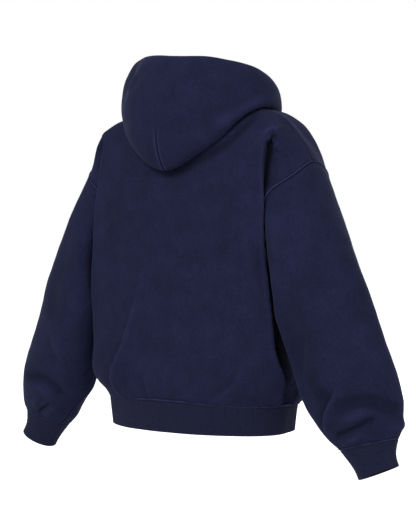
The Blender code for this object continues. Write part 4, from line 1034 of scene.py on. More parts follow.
def sew_down(piece, seams, free=(), welts=()):
    """Brings the piece's own lift to nothing at its seams, and sets the groove and the welts beside them."""
    dip = np.ones_like(piece.lift)
    calm = np.ones_like(piece.lift)
    for edge in seams:
        away = piece.run_from(edge)
        dip = dip * (1 - np.exp(-(away / SEAM_WIDE) ** 2))
        calm = calm * ease(away / SEAM_CALM)
        # painted shade down in the seam's groove
        piece.shade = np.maximum(piece.shade, np.exp(-(away / SEAM_PAINTED_SHADE) ** 2))
    for edge in free:
        calm = calm * ease(piece.run_from(edge) / FREE_CALM)
        dip = dip * ease(piece.run_from(edge) / FREE_CALM)
    piece.lift = piece.lift * calm + SEAM_DEEP * dip
    for edge, wide, rise in welts:
        welt(piece, edge, wide, rise * dip)
    return dip


# %% The welt beside a topstitched seam
WOBBLES = ((0.14, 8.5 * MM, 0), (0.10, 5.1 * MM, 1))     # share of its width, length, start
PULLED_IN = 0.7 * MM         # the stitches draw the cloth in this much


def welt(piece, edge, wide, rise):
    """Raises the narrow band beside a seam, draws the cloth in where it is topstitched, and paints a
    highlight on the band and shade along the stitched line.
    """
    away, beside = piece.run_from(edge), piece.run_from("start")
    if edge == "bottom":
        # no hand keeps it to one width
        wide = wide * (1 + sum(share * np.sin(beside / wave + start) for share, wave, start in WOBBLES))
    band = ease(away / (1.0 * MM)) * ease((wide * 1.3 - away) / (0.4 * wide))
    pull = np.exp(-((away - 1.35 * wide) / (0.9 * MM)) ** 2)
    there = rise / max(float(rise.max()), 1e-9)
    piece.lift += rise * band - PULLED_IN * there * pull
    # painted highlight along the welt, and painted shade where the stitches draw it in
    piece.light = np.maximum(piece.light, there * band * np.exp(-((away - 0.62 * wide) / (0.42 * wide)) ** 2))
    piece.shade = np.maximum(piece.shade, 0.85 * there * pull)


# %% Sewing the fleece pieces down
HEM_WELT = ("bottom", 3.1 * MM, 1.5 * MM)       # edge, width and height
CUFF_WELT = ("bottom", 2.9 * MM, 1.2 * MM)
SHOULDER_PAINTED_SHADE = 2.0 * MM
dips = {"back": sew_down(back, BACK_SEAMS, welts=[HEM_WELT])}
for piece in (front_left, front_right):
    dips[piece.name] = sew_down(piece, FRONT_SEAMS, free=("start",), welts=[HEM_WELT])
for piece in (sleeve_left, sleeve_right):
    sew_down(piece, ("top", "bottom"), welts=[CUFF_WELT])
sew_down(hood, ("top",))
# a wider line of painted shade along the shoulder seam
back.shade = np.maximum(back.shade, np.exp(-(back.run_from("top") / SHOULDER_PAINTED_SHADE) ** 2))

# %% The topstitched welt round each armhole
ARMHOLE_WELT_WIDE, ARMHOLE_WELT_RISE = 3.0 * MM, 1.4 * MM

for piece, edge in ((back, "start"), (back, "end"), (front_left, "end"), (front_right, "end")):
    above_armpit = ease((ARMPIT_ROW - piece.rows) / 0.03)[:, None]
    welt(piece, edge, ARMHOLE_WELT_WIDE, above_armpit * ARMHOLE_WELT_RISE * dips[piece.name])


# %% The seam under each sleeve
UNDERARM_DEEP, UNDERARM_WIDE = 1.8 * MM, 1.6 * MM


def underarm_seam(piece):
    """The sleeve's own seam is its first column, which starts at the armpit."""
    away = np.minimum(piece.run_from("start"), piece.run_from("end"))
    inside = ease(piece.run_from("top") / (6 * MM)) * ease(piece.run_from("bottom") / (4 * MM))
    piece.lift -= UNDERARM_DEEP * inside * np.exp(-(away / UNDERARM_WIDE) ** 2)
    # painted shade along the seam, and a faint painted highlight beside it
    piece.shade = np.maximum(piece.shade, np.exp(-(away / (1.8 * MM)) ** 2))
    piece.light = np.maximum(piece.light, 0.3 * inside * np.exp(-((away - 3.4 * MM) / (1.2 * MM)) ** 2))


underarm_seam(sleeve_left)
underarm_seam(sleeve_right)
for piece in fleece_pieces:
    piece.settle()
print("seams sewn on", len(fleece_pieces), "pieces of fleece")

# %% [markdown]
# ## Joining the walls
# Two walls that meet at a seam share one direction of thickness there, like a mitre, so that neither pokes
# through the other.  The shared direction fades out over a few millimetres.

# %% Mitred seams
def squarest(directions):
    """The direction that makes its widest angle with the given ones as small as it can be."""
    way = sum(directions)
    for _ in range(80):
        furthest = min(directions, key=lambda d: d @ way)
        way = unit_vectors(unit_vectors(way) + 0.05 * furthest)
    return way


MITRE_FADE = 5 * MM
EDGE_OF = {"top": np.s_[:1], "bottom": np.s_[-1:], "start": np.s_[:, :1], "end": np.s_[:, -1:]}


def share_seam_directions(pieces):
    """Gives all edge points that meet one direction of thickness, and fades it out beside the seam."""
    cells = [(piece, i, j, steps) for piece in pieces for i, j, steps in piece.edge_cells()]
    tree = KDTree(len(cells))
    for k, (piece, i, j, _) in enumerate(cells):
        tree.insert(piece.points[i, j], k)
    tree.balance()
    done = set()
    joined = 0
    for k, (piece, i, j, _) in enumerate(cells):
        if k in done:
            continue
        near = [index for _, index, _ in tree.find_range(piece.points[i, j], 3e-5)]
        done.update(near)
        if len(near) == 1:
            continue
        joined += 1
        group = [cells[n] for n in near]
        facing = [p.across[a, b].copy() for p, a, b, _ in group]
        if len(group) == 2 and len(group[0][3]) == 1:
            apart = [p.inwards(a, b, s) for p, a, b, s in group]
            both = apart[0] + apart[1]
            way = sum(facing)
            way = unit_vectors(way + both * (1 if way @ both >= 0 else -1))
        else:
            way = squarest(facing)
        stretch = 1 / max(min(face @ way for face in facing), MITRE_LIMIT)
        for p, a, b, _ in group:
            p.across[a, b] = stretch * way
    for piece in pieces:
        edges = [edge for edge in EDGE_OF if edge in ("top", "bottom") or not piece.closed]
        for edge in edges:
            near = np.exp(-(piece.run_from(edge) / MITRE_FADE) ** 2)[:, :, None]
            shared = piece.across[EDGE_OF[edge]].copy()
            length = np.linalg.norm(piece.across, axis=-1, keepdims=True)
            target = np.linalg.norm(shared, axis=-1, keepdims=True)
            way = unit_vectors(piece.across * (1 - near) + shared * near)
            mixed = way * (length * (1 - near) + target * near)
            for other in edges:
                mixed[EDGE_OF[other]] = piece.across[EDGE_OF[other]]
            piece.across = mixed
    print("points joined along seams:", joined)


share_seam_directions(fleece_pieces)

# %% [markdown]
# ## Ribbed bands
# Rib knit is made of columns of raised stitches with narrow furrows between them.  Drawn as real ridges,
# 3 mm apart, it catches the light along a curved band in the way that a bump texture doesn't.

# %% Hem band
RIB = 3.1 * MM
RIB_PROFILE = np.array([-1.0, 0.35, 0.75, 0.35])     # furrow, flank, crown, flank


def quarter_shares(length):
    """Even places for whole ribs along a quarter of the hem."""
    ribs = round(length / RIB)
    return np.linspace(0, 1, ribs * len(RIB_PROFILE) + 1)


hem_round = np.linspace(0, 90, 400)
hem_x, hem_y = hem_outline(hem_round)
hem_quarter = np.hypot(np.diff(hem_x), np.diff(hem_y)).sum()
half_hem = np.concatenate([hem_degrees(quarter_shares(hem_quarter), 1),
                           hem_degrees(quarter_shares(hem_quarter - ZIP_EDGE), -1)[-2::-1]])
HEM_DEGREES = np.concatenate([-half_hem[:0:-1], half_hem])
BAND_ROWS = np.array([0, 0.015, 0.035, 0.06, 0.10, 0.18, 0.32, 0.5, 0.68, 0.82, 0.91, 0.955, 0.98, 0.995, 1])
hem_band = Cloth("hem_band", BAND_ROWS, HEM_DEGREES, hem_band_surface(BAND_ROWS, HEM_DEGREES), RIB_WALL, -1)
print("ribs round the hem:", len(HEM_DEGREES) // len(RIB_PROFILE))

# %% Cuffs
CUFF_RIBS = 92
CUFF_DEGREES = np.linspace(0, 360, CUFF_RIBS * len(RIB_PROFILE), endpoint=False) + 180
CUFF_ROWS = np.array([0, 0.015, 0.035, 0.06, 0.10, 0.17, 0.26, 0.36, 0.48, 0.60, 0.72, 0.83, 0.91, 0.955,
                      0.98, 0.995, 1])
cuff_left = Cloth("cuff_left", CUFF_ROWS, CUFF_DEGREES, rings(CUFF, CUFF_ROWS, CUFF_DEGREES), RIB_WALL, 1,
                  closed=True)
cuff_right = mirrored("cuff_right", cuff_left)
rib_pieces = [hem_band, cuff_left, cuff_right]
print("ribs round a cuff:", CUFF_RIBS)

# %% Knitting the ribs
RIB_DEEP = 0.55 * MM
RIB_UNEVEN = 0.18            # how much one rib's height differs from the next
RIB_PUFF = 1.3 * MM          # the band stands this much above the bottom of its seam
RIB_CALM = 18 * MM           # and less so this close to the zip
RIB_SEAM_PAINTED_SHADE = 2.2 * MM
STREAK_STEPS = 9             # columns of the grid from one streak of deeper painted shade to the next
STREAK_REACH = 40 * MM
RIB_SEED = 80


def knit_ribs(piece, seed):
    """Raised ribs of uneven height that run out at both ends, with painted shade along the seam and in the
    furrows, deeper in streaks below the seam.
    """
    count = piece.points.shape[1]
    whole = count // len(RIB_PROFILE) + 1
    ribs = np.tile(RIB_PROFILE, whole)[:count]
    turn = np.random.default_rng(seed)
    uneven = 1 + RIB_UNEVEN * turn.standard_normal(whole).repeat(len(RIB_PROFILE))[:count]
    from_seam, from_end = piece.run_from("top"), piece.run_from("bottom")
    fade = ease(from_seam / (3 * MM)) * ease(from_end / (2.5 * MM))
    piece.lift += RIB_DEEP / 2 * fade * (ribs * uneven)[None]
    calm = np.ones_like(from_seam)
    if not piece.closed:
        calm = ease(piece.run_from("start") / RIB_CALM) * ease(piece.run_from("end") / RIB_CALM)
    piece.lift += RIB_PUFF * calm * (1 - np.exp(-(from_seam / (1.8 * MM)) ** 2))
    # painted shade along the seam, and in every furrow, deeper in random streaks near the seam
    piece.shade = np.maximum(piece.shade, np.exp(-(from_seam / RIB_SEAM_PAINTED_SHADE) ** 2))
    streak_at = np.arange(0, count + STREAK_STEPS, STREAK_STEPS)
    streaks = np.interp(np.arange(count), streak_at, turn.uniform(0, 1, len(streak_at)))
    piece.shade = np.maximum(piece.shade, fade * (0.25 + 0.55 * streaks * np.exp(-from_seam / STREAK_REACH))
                             * (ribs < -0.5)[None])
    slackness(piece, 0.4 * MM, 0.09, seed)
    piece.settle()


# the band is drawn in on the wearer's right side
crease(hem_band, [(36, -6.5, (0.15, -97), (0.6, -97), (1.6, -97))], tone=0)
for number, piece in enumerate(rib_pieces):
    knit_ribs(piece, RIB_SEED + number)

# %% [markdown]
# ## Walls
# The grid is thickened both ways into one closed shell.  A free edge is a turned and stitched fold on the
# real garment, so there the wall narrows to a round nose instead of ending in a square cut.

# %% Round free edges
THINNEST = 0.12              # share of the wall that is left at the very edge


def round_edge(piece, edge):
    """Narrows the wall towards a free edge like the end of a fold."""
    full = piece.thick.max()
    share = np.clip(piece.run_from(edge) / (full / 2), 0, 1)
    piece.thick = np.minimum(piece.thick, full * np.maximum(np.sqrt(1 - (1 - share) ** 2), THINNEST))


FREE_EDGES = [
    (hood, ("bottom", "start", "end")), (front_left, ("start",)), (front_right, ("start",)),
    (hem_band, ("bottom", "start", "end")), (cuff_left, ("bottom",)), (cuff_right, ("bottom",)),
]
for piece, edges in FREE_EDGES:
    for edge in edges:
        round_edge(piece, edge)

# %% Faces of a shell
def grid_faces(rows, columns, closed):
    """Quads of the outer face, then of the inner face, then the rims."""
    last = columns if closed else columns - 1
    i, j = np.meshgrid(np.arange(rows - 1), np.arange(last), indexing="ij")
    k = (j + 1) % columns
    outer = np.stack([i * columns + j, i * columns + k, (i + 1) * columns + k, (i + 1) * columns + j], -1)
    outer = outer.reshape(-1, 4)
    count = rows * columns
    inner = outer[:, ::-1] + count
    j = np.arange(last)
    k = (j + 1) % columns
    rims = [np.stack([k, j], -1), np.stack([(rows - 1) * columns + j, (rows - 1) * columns + k], -1)]
    if not closed:
        i = np.arange(rows - 1)
        rims.append(np.stack([i * columns, (i + 1) * columns], -1))
        rims.append(np.stack([(i + 2) * columns - 1, (i + 1) * columns - 1], -1))
    rims = np.concatenate(rims)
    rims = np.stack([rims[:, 0], rims[:, 1], count + rims[:, 1], count + rims[:, 0]], -1)
    return np.concatenate([outer, inner, rims])


# %% Shells from grids
SHARP_ANGLE = radians(62)    # edges that turn more than this stay crisp


def wall_object(piece, material):
    """A piece of cloth as one closed shell, with its shade, light and flat layout."""
    rows, columns = piece.points.shape[:2]
    half = piece.thick[:, :, None] / 2 * piece.across
    places = np.concatenate([(piece.points + half).reshape(-1, 3), (piece.points - half).reshape(-1, 3)])
    faces = grid_faces(rows, columns, piece.closed)
    mesh = bpy.data.meshes.new(piece.name)
    mesh.from_pydata(places.tolist(), [], faces.tolist())
    shape = bmesh.new()
    shape.from_mesh(mesh)
    if shape.calc_volume(signed=True) < 0:
        bmesh.ops.reverse_faces(shape, faces=shape.faces[:])
    shape.to_mesh(mesh)
    shape.free()
    # the painted shade and painted highlight go to the materials as attributes
    for title, values in (("shade", piece.shade), ("light", piece.light)):
        layer = mesh.attributes.new(title, "FLOAT", "POINT")
        layer.data.foreach_set("value", np.tile(values.reshape(-1), 2))
    lay_flat(piece, mesh)
    mesh.shade_smooth()
    mesh.set_sharp_from_angle(angle=SHARP_ANGLE)
    mesh.materials.append(material)
    placed = bpy.data.objects.new(piece.name, mesh)
    bpy.context.scene.collection.objects.link(placed)
    print(piece.name, "faces", len(mesh.polygons))
    return placed


# %% The flat layout of a piece
def lay_flat(piece, mesh):
    """A UV map in metres, across the cloth and along its grain, so that a pattern follows the knit."""
    rows, columns = piece.points.shape[:2]
    across = piece.run_from("start")
    across = across - across[:, columns // 2][:, None]
    down = piece.run_from("top").mean(1)[:, None] * np.ones_like(across)
    flat = np.tile(np.stack([across, down], -1).reshape(-1, 2), (2, 1))
    corners = np.zeros(len(mesh.loops), int)
    mesh.loops.foreach_get("vertex_index", corners)
    uv = flat[corners]
    if piece.closed:
        # the faces that close the ring would run all the way back, so their far side goes a girth further
        last_step = np.linalg.norm(piece.points[:, -1] - piece.points[:, 0], axis=-1)
        girth = across[:, -1] - across[:, 0] + last_step
        row_of, sides = np.divmod(corners % (rows * columns), columns)
        starts = np.zeros(len(mesh.polygons), int)
        totals = np.zeros(len(mesh.polygons), int)
        mesh.polygons.foreach_get("loop_start", starts)
        mesh.polygons.foreach_get("loop_total", totals)
        face_of = np.repeat(np.arange(len(starts)), totals)
        closing = np.maximum.reduceat((sides == columns - 1).astype(int), starts)[face_of].astype(bool)
        far = closing & (sides == 0)
        uv[far, 0] += girth[row_of[far]]
    layer = mesh.uv_layers.new(name="cut")
    layer.data.foreach_set("uv", uv.reshape(-1))


# %% [markdown]
# ## Materials
# Nothing on the garment is one flat colour.  The fleece is cotton knitted fine and brushed, so its face is
# a short, matt nap: rough, with a soft light along every edge that turns away, which is what sheen does.

# %% One way to add a node, and colours from the dye book
def add_node(tree, kind, settings=None, inputs=None):
    """Adds a node; an input is a value, or the output that feeds it."""
    made = tree.nodes.new(kind)
    for name, value in (settings or {}).items():
        setattr(made, name, value)
    for name, value in (inputs or {}).items():
        if isinstance(value, bpy.types.NodeSocket):
            tree.links.new(value, made.inputs[name])
        else:
            made.inputs[name].default_value = value
    return made


def dye(hex_colour):
    """sRGB hex to the linear colour that a shader takes."""
    parts = [int(hex_colour[i:i + 2], 16) / 255 for i in (1, 3, 5)]
    return [p / 12.92 if p <= 0.04045 else ((p + 0.055) / 1.055) ** 2.4 for p in parts] + [1.0]


def start_material(name):
    material = bpy.data.materials.new(name)
    material.use_nodes = True
    material.node_tree.nodes.clear()
    return material, material.node_tree


def finish_material(tree, shader):
    add_node(tree, "ShaderNodeOutputMaterial", inputs={"Surface": shader.outputs[0]})


# a Mix node holds sockets for several kinds of value, and these are the numbers of those for colour
COLOURS = {"data_type": "RGBA"}
SHARE, FIRST, SECOND, BLENDED = 0, 6, 7, 2

# %% [markdown]
# The nap is mottled at two scales: tufts of 1 to 2 mm, and cloudy patches where the brushing left more or
# less pile.  Under it, the fine upright columns of the knit just show.

# %% Brushed cotton fleece
def brushed_fleece():
    material, tree = start_material("brushed cotton fleece")
    place = add_node(tree, "ShaderNodeTexCoord")
    tufts = add_node(tree, "ShaderNodeTexNoise", inputs={
        "Vector": place.outputs["Object"], "Scale": 1 / (4.4 * MM), "Detail": 4.0, "Roughness": 0.7})
    clouds = add_node(tree, "ShaderNodeTexNoise", inputs={
        "Vector": place.outputs["Object"], "Scale": 1 / (38 * MM), "Detail": 4.0, "Roughness": 0.6})
    # wales are 1.2 mm apart on the real cloth; drawn twice as wide, they still show from a few metres
    grain = add_node(tree, "ShaderNodeMapping", inputs={
        "Vector": place.outputs["UV"], "Scale": (1 / (2.4 * MM), 1 / (45 * MM), 1)})
    wales = add_node(tree, "ShaderNodeTexNoise", {"noise_dimensions": "2D"}, {
        "Vector": grain.outputs[0], "Scale": 1.0, "Detail": 2.0, "Roughness": 0.55})
    low, middle, high = dye("#14162b"), dye("#1a1d37"), dye("#252948")
    tuft_tone = add_node(tree, "ShaderNodeMapRange", inputs={
        "Value": tufts.outputs[0], "From Min": 0.32, "From Max": 0.68})
    cloud_tone = add_node(tree, "ShaderNodeMapRange", inputs={
        "Value": clouds.outputs[0], "From Min": 0.30, "From Max": 0.70})
    wale_tone = add_node(tree, "ShaderNodeMapRange", inputs={
        "Value": wales.outputs[0], "From Min": 0.30, "From Max": 0.70})
    tufted = add_node(tree, "ShaderNodeMix", COLOURS, {SHARE: tuft_tone.outputs[0], FIRST: low, SECOND: high})
    colour = add_node(tree, "ShaderNodeMix", COLOURS, {
        SHARE: 0.25, FIRST: tufted.outputs[BLENDED], SECOND: middle}).outputs[BLENDED]
    for tone, strength in ((cloud_tone, 0.38), (wale_tone, 0.12)):
        mottled = add_node(tree, "ShaderNodeMix", COLOURS, {SHARE: tone.outputs[0], FIRST: low, SECOND: high})
        colour = add_node(tree, "ShaderNodeMix", COLOURS, {
            SHARE: strength, FIRST: colour, SECOND: mottled.outputs[BLENDED]}).outputs[BLENDED]
    # painted shade from the shade attribute mixes the colour towards #030307, and painted highlight from the
    # light attribute towards #33365c
    fleece_painted_shade = add_node(tree, "ShaderNodeAttribute", {"attribute_name": "shade"})
    fleece_painted_shade_share = add_node(tree, "ShaderNodeMath", {"operation": "MULTIPLY", "use_clamp": True},
                             {0: fleece_painted_shade.outputs["Fac"], 1: 0.92})
    raised = add_node(tree, "ShaderNodeAttribute", {"attribute_name": "light"})
    for share, tint in ((fleece_painted_shade_share.outputs[0], "#030307"), (raised.outputs["Fac"], "#33365c")):
        colour = add_node(tree, "ShaderNodeMix", COLOURS, {
            SHARE: share, FIRST: colour, SECOND: dye(tint)}).outputs[BLENDED]
    nap = add_node(tree, "ShaderNodeBump", inputs={
        "Height": tufts.outputs[0], "Strength": 0.55, "Distance": 0.5 * MM})
    columns = add_node(tree, "ShaderNodeBump", inputs={
        "Height": wales.outputs[0], "Strength": 0.25, "Distance": 0.3 * MM, "Normal": nap.outputs[0]})
    shader = add_node(tree, "ShaderNodeBsdfPrincipled", inputs={
        "Base Color": colour, "Roughness": 0.95, "IOR": 1.5, "Specular IOR Level": 0.10,
        "Sheen Weight": 0.055, "Sheen Roughness": 0.40, "Sheen Tint": dye("#8f96c8"),
        "Normal": columns.outputs[0]})
    finish_material(tree, shader)
    return material


# %% [markdown]
# The bands are a 1 by 1 rib of the same cotton, unbrushed.  Their yarn is a little greyer than the fleece,
# with a fleck of lighter fibre, and the furrows between the ribs get painted shade.

# %% Rib knit
def rib_knit():
    material, tree = start_material("cotton rib knit")
    place = add_node(tree, "ShaderNodeTexCoord")
    stitches = add_node(tree, "ShaderNodeMapping", inputs={
        "Vector": place.outputs["UV"], "Scale": (1 / (1.5 * MM), 1 / (2.6 * MM), 1)})
    loops = add_node(tree, "ShaderNodeTexNoise", {"noise_dimensions": "2D"}, {
        "Vector": stitches.outputs[0], "Scale": 1.0, "Detail": 3.0, "Roughness": 0.6})
    fleck = add_node(tree, "ShaderNodeTexNoise", inputs={
        "Vector": place.outputs["Object"], "Scale": 1 / (3.2 * MM), "Detail": 4.0, "Roughness": 0.7})
    loop_tone = add_node(tree, "ShaderNodeMapRange", inputs={
        "Value": loops.outputs[0], "From Min": 0.30, "From Max": 0.70})
    fleck_tone = add_node(tree, "ShaderNodeMapRange", inputs={
        "Value": fleck.outputs[0], "From Min": 0.35, "From Max": 0.75})
    low, high = dye("#0f1123"), dye("#272945")
    looped, flecked = [add_node(tree, "ShaderNodeMix", COLOURS, {
        SHARE: tone.outputs[0], FIRST: low, SECOND: high}) for tone in (loop_tone, fleck_tone)]
    colour = add_node(tree, "ShaderNodeMix", COLOURS, {
        SHARE: 0.5, FIRST: looped.outputs[BLENDED], SECOND: flecked.outputs[BLENDED]}).outputs[BLENDED]
    # painted shade from the shade attribute darkens the seam line and the furrows towards #0d0d19, and
    # painted highlight from the light attribute mixes towards #33365c
    rib_painted_shade = add_node(tree, "ShaderNodeAttribute", {"attribute_name": "shade"})
    rib_painted_shade_share = add_node(tree, "ShaderNodeMath", {"operation": "MULTIPLY", "use_clamp": True},
                            {0: rib_painted_shade.outputs["Fac"], 1: 0.75})
    edge = add_node(tree, "ShaderNodeAttribute", {"attribute_name": "light"})
    for share, tint in ((rib_painted_shade_share.outputs[0], "#0d0d19"), (edge.outputs["Fac"], "#33365c")):
        colour = add_node(tree, "ShaderNodeMix", COLOURS, {
            SHARE: share, FIRST: colour, SECOND: dye(tint)}).outputs[BLENDED]
    knit = add_node(tree, "ShaderNodeBump", inputs={
        "Height": loops.outputs[0], "Strength": 0.5, "Distance": 0.4 * MM})
    shader = add_node(tree, "ShaderNodeBsdfPrincipled", inputs={
        "Base Color": colour, "Roughness": 0.9, "IOR": 1.5, "Specular IOR Level": 0.12,
        "Sheen Weight": 0.07, "Sheen Roughness": 0.45, "Sheen Tint": dye("#9096b8"),
        "Normal": knit.outputs[0]})
    finish_material(tree, shader)
    return material


# %% Woven zip tape and sewing thread
def woven_tape():
    """A tight herringbone of polyester: flat and a touch shinier than cotton."""
    material, tree = start_material("woven polyester tape")
    place = add_node(tree, "ShaderNodeTexCoord")
    turned = add_node(tree, "ShaderNodeMapping", inputs={
        "Vector": place.outputs["UV"], "Rotation": (0, 0, radians(45)), "Scale": (1 / MM, 1 / MM, 1)})
    twill = add_node(tree, "ShaderNodeTexWave", {"wave_type": "BANDS", "bands_direction": "X"}, {
        "Vector": turned.outputs[0], "Scale": 0.30, "Distortion": 0.8, "Detail": 1.0})
    colour = add_node(tree, "ShaderNodeMix", COLOURS, {
        SHARE: twill.outputs["Fac"], FIRST: dye("#17182b"), SECOND: dye("#25273f")})
    weave = add_node(tree, "ShaderNodeBump", inputs={
        "Height": twill.outputs["Fac"], "Strength": 0.4, "Distance": 0.2 * MM})
    shader = add_node(tree, "ShaderNodeBsdfPrincipled", inputs={
        "Base Color": colour.outputs[BLENDED], "Roughness": 0.7, "IOR": 1.5, "Specular IOR Level": 0.3,
        "Sheen Weight": 0.05, "Sheen Roughness": 0.5, "Normal": weave.outputs[0]})
    finish_material(tree, shader)
    return material


def sewing_thread():
    """Spun polyester, dyed to match: a plied cord 0.6 mm thick, slightly brighter than the nap round it."""
    material, tree = start_material("spun polyester thread")
    place = add_node(tree, "ShaderNodeTexCoord")
    plies = add_node(tree, "ShaderNodeTexNoise", inputs={
        "Vector": place.outputs["Object"], "Scale": 1 / (0.9 * MM), "Detail": 2.0})
    colour = add_node(tree, "ShaderNodeMix", COLOURS, {
        SHARE: plies.outputs[0], FIRST: dye("#1d1f38"), SECOND: dye("#2c2f50")})
    twist = add_node(tree, "ShaderNodeBump", inputs={
        "Height": plies.outputs[0], "Strength": 0.3, "Distance": 0.1 * MM})
    shader = add_node(tree, "ShaderNodeBsdfPrincipled", inputs={
        "Base Color": colour.outputs[BLENDED], "Roughness": 0.6, "IOR": 1.5, "Specular IOR Level": 0.35,
        "Sheen Weight": 0.1, "Sheen Roughness": 0.4, "Normal": twist.outputs[0]})
    finish_material(tree, shader)
    return material


# %% Plated zinc of the zip
def gunmetal():
    """Die-cast zinc with a dark plating, tumbled: soft reflections with a faint cloud in them."""
    material, tree = start_material("gunmetal plated zinc")
    place = add_node(tree, "ShaderNodeTexCoord")
    tumble = add_node(tree, "ShaderNodeTexNoise", inputs={
        "Vector": place.outputs["Object"], "Scale": 1 / (1.6 * MM), "Detail": 3.0, "Roughness": 0.6})
    colour = add_node(tree, "ShaderNodeMix", COLOURS, {
        SHARE: tumble.outputs[0], FIRST: dye("#3c3d44"), SECOND: dye("#55565e")})
    roughness = add_node(tree, "ShaderNodeMapRange", inputs={
        "Value": tumble.outputs[0], "From Min": 0.3, "From Max": 0.7, "To Min": 0.28, "To Max": 0.42})
    dimples = add_node(tree, "ShaderNodeBump", inputs={
        "Height": tumble.outputs[0], "Strength": 0.15, "Distance": 0.05 * MM})
    shader = add_node(tree, "ShaderNodeBsdfPrincipled", inputs={
        "Base Color": colour.outputs[BLENDED], "Metallic": 1.0, "Roughness": roughness.outputs[0],
        "Normal": dimples.outputs[0]})
    finish_material(tree, shader)
    return material


fleece, rib, tape, thread, metal = brushed_fleece(), rib_knit(), woven_tape(), sewing_thread(), gunmetal()
print("materials:", [m.name for m in (fleece, rib, tape, thread, metal)])

# %% Make the cloth pieces and tie them to the frame
made = {}
for pieces, material, slot in ((fleece_pieces, fleece, "fleece"), (rib_pieces, rib, "rib")):
    for piece in pieces:
        cloth = made[piece.name] = wall_object(piece, material)
        cloth.name = piece.name + "_cloth"
        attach(cloth, "garment")
        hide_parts(piece.name)

# %% [markdown]
# ## Topstitching
# Each seam that shows is topstitched with one row of thread a few millimetres beside it.  One stitch is
# modelled, a grain of thread, and copied along every row.

# %% One stitch
STITCH_PITCH = 3.5 * MM
STITCH_LONG = 2.6 * MM
STITCH_THICK = 0.62 * MM
STITCH_PROUD = 0.05 * MM     # its middle lies this much outside the cloth's face

bpy.ops.object.select_all(action="DESELECT")
bpy.ops.mesh.primitive_uv_sphere_add(segments=6, ring_count=4, radius=0.5, location=(0, 0, 0))
stitch = bpy.context.object
stitch.name = "one_stitch"
bpy.ops.object.mode_set(mode="EDIT")
bpy.ops.mesh.select_all(action="SELECT")
bpy.ops.transform.resize(value=(STITCH_THICK, STITCH_THICK, STITCH_LONG))
bpy.ops.object.mode_set(mode="OBJECT")
stitch_points = np.array([v.co for v in stitch.data.vertices])
stitch_faces = [list(f.vertices) for f in stitch.data.polygons]
bpy.data.objects.remove(stitch)


# %% A line beside an edge
def line_beside(piece, edge, away, on_face=1.0):
    """Points at a distance from an edge, on the outer face (1) or the middle (0), and the way out there."""
    run = piece.run_from(edge)
    grid = piece.points + on_face * piece.thick[:, :, None] / 2 * piece.across
    facing = unit_vectors(piece.across)
    if edge in ("start", "end"):
        run, grid, facing = run.T, grid.transpose(1, 0, 2), facing.transpose(1, 0, 2)
    if edge in ("bottom", "end"):
        run, grid, facing = run[::-1], grid[::-1], facing[::-1]
    k = np.clip((run < away).sum(0) - 1, 0, len(run) - 2)
    j = np.arange(run.shape[1])
    share = np.clip((away - run[k, j]) / np.maximum(run[k + 1, j] - run[k, j], 1e-9), 0, 1)[:, None]
    return (grid[k, j] * (1 - share) + grid[k + 1, j] * share,
            unit_vectors(facing[k, j] * (1 - share) + facing[k + 1, j] * share))


# %% Rows of copies along a line
def copies_along(name, points, faces, line, facing, pitch, material, offset=0.0):
    """One mesh of copies, spaced along a line; a copy's Z follows the line and its Y faces outwards."""
    run = np.append(0, np.cumsum(np.linalg.norm(np.diff(line, axis=0), axis=1)))
    places = np.arange(pitch / 2 + offset, run[-1] - pitch / 3, pitch)

    def at(places, values):
        return np.stack([np.interp(places, run, values[:, k]) for k in range(3)], -1)

    centre, out = at(places, line), at(places, facing)
    z = unit_vectors(at(places + pitch / 3, line) - at(places - pitch / 3, line))
    y = unit_vectors(out - (out * z).sum(1, keepdims=True) * z)
    x = np.cross(y, z)
    where = (centre[:, None] + points[None, :, :1] * x[:, None] + points[None, :, 1:2] * y[:, None]
             + points[None, :, 2:] * z[:, None])
    all_faces = [[v + k * len(points) for v in face] for k in range(len(places)) for face in faces]
    mesh = bpy.data.meshes.new(name)
    mesh.from_pydata(where.reshape(-1, 3).tolist(), [], all_faces)
    mesh.shade_smooth()
    mesh.materials.append(material)
    placed = bpy.data.objects.new(name, mesh)
    bpy.context.scene.collection.objects.link(placed)
    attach(placed, "garment")
    print(name, "copies", len(places))
    return placed


def stitch_row(name, piece, edge, away, keep=None):
    line, facing = line_beside(piece, edge, away)
    if keep is not None:
        line, facing = line[keep], facing[keep]
    row = copies_along(name, stitch_points, stitch_faces, line + STITCH_PROUD * facing, facing,
                       STITCH_PITCH, thread)
    return row


# %% Sew the rows
FROM_ARMHOLE, FROM_SHOULDER, FROM_BAND = 2.5 * MM, 2.3 * MM, 2.2 * MM
FROM_ZIP, FROM_RIM = 7 * MM, 20 * MM
ABOVE_BAND = 0.985           # row of a front where the zip's stitching stops
on_armhole = BODY_ROWS <= ARMPIT_ROW
on_shoulder = np.abs(BACK_U) >= BACK_NECK_SHARE
for side, edge, front in (("left", "end", front_left), ("right", "start", front_right)):
    stitch_row("stitches_armhole_back_" + side, back, edge, FROM_ARMHOLE, on_armhole)
    stitch_row("stitches_armhole_front_" + side, front, "end", FROM_ARMHOLE, on_armhole)
    stitch_row("stitches_shoulder_" + side, back, "top", FROM_SHOULDER,
               on_shoulder & ((BACK_U > 0) == (side == "left")))
    stitch_row("stitches_zip_" + side, front, "start", FROM_ZIP, BODY_ROWS < ABOVE_BAND)
    stitch_row("stitches_hem_front_" + side, front, "bottom", FROM_BAND)
stitch_row("stitches_hem_back", back, "bottom", FROM_BAND)
stitch_row("stitches_cuff_left", sleeve_left, "bottom", FROM_BAND)
stitch_row("stitches_cuff_right", sleeve_right, "bottom", FROM_BAND)
stitch_row("stitches_hood_rim", hood, "bottom", FROM_RIM)

# %% [markdown]
# ## The zip
# Two woven tapes are sewn behind the front edges.  Each carries a row of metal teeth, and closed, the two
# rows lock into each other at half a pitch.  The slider, its pull tab, the two top stops and the box at the
# bottom come from the frame, whose shapes are already right; they only get their plating here.

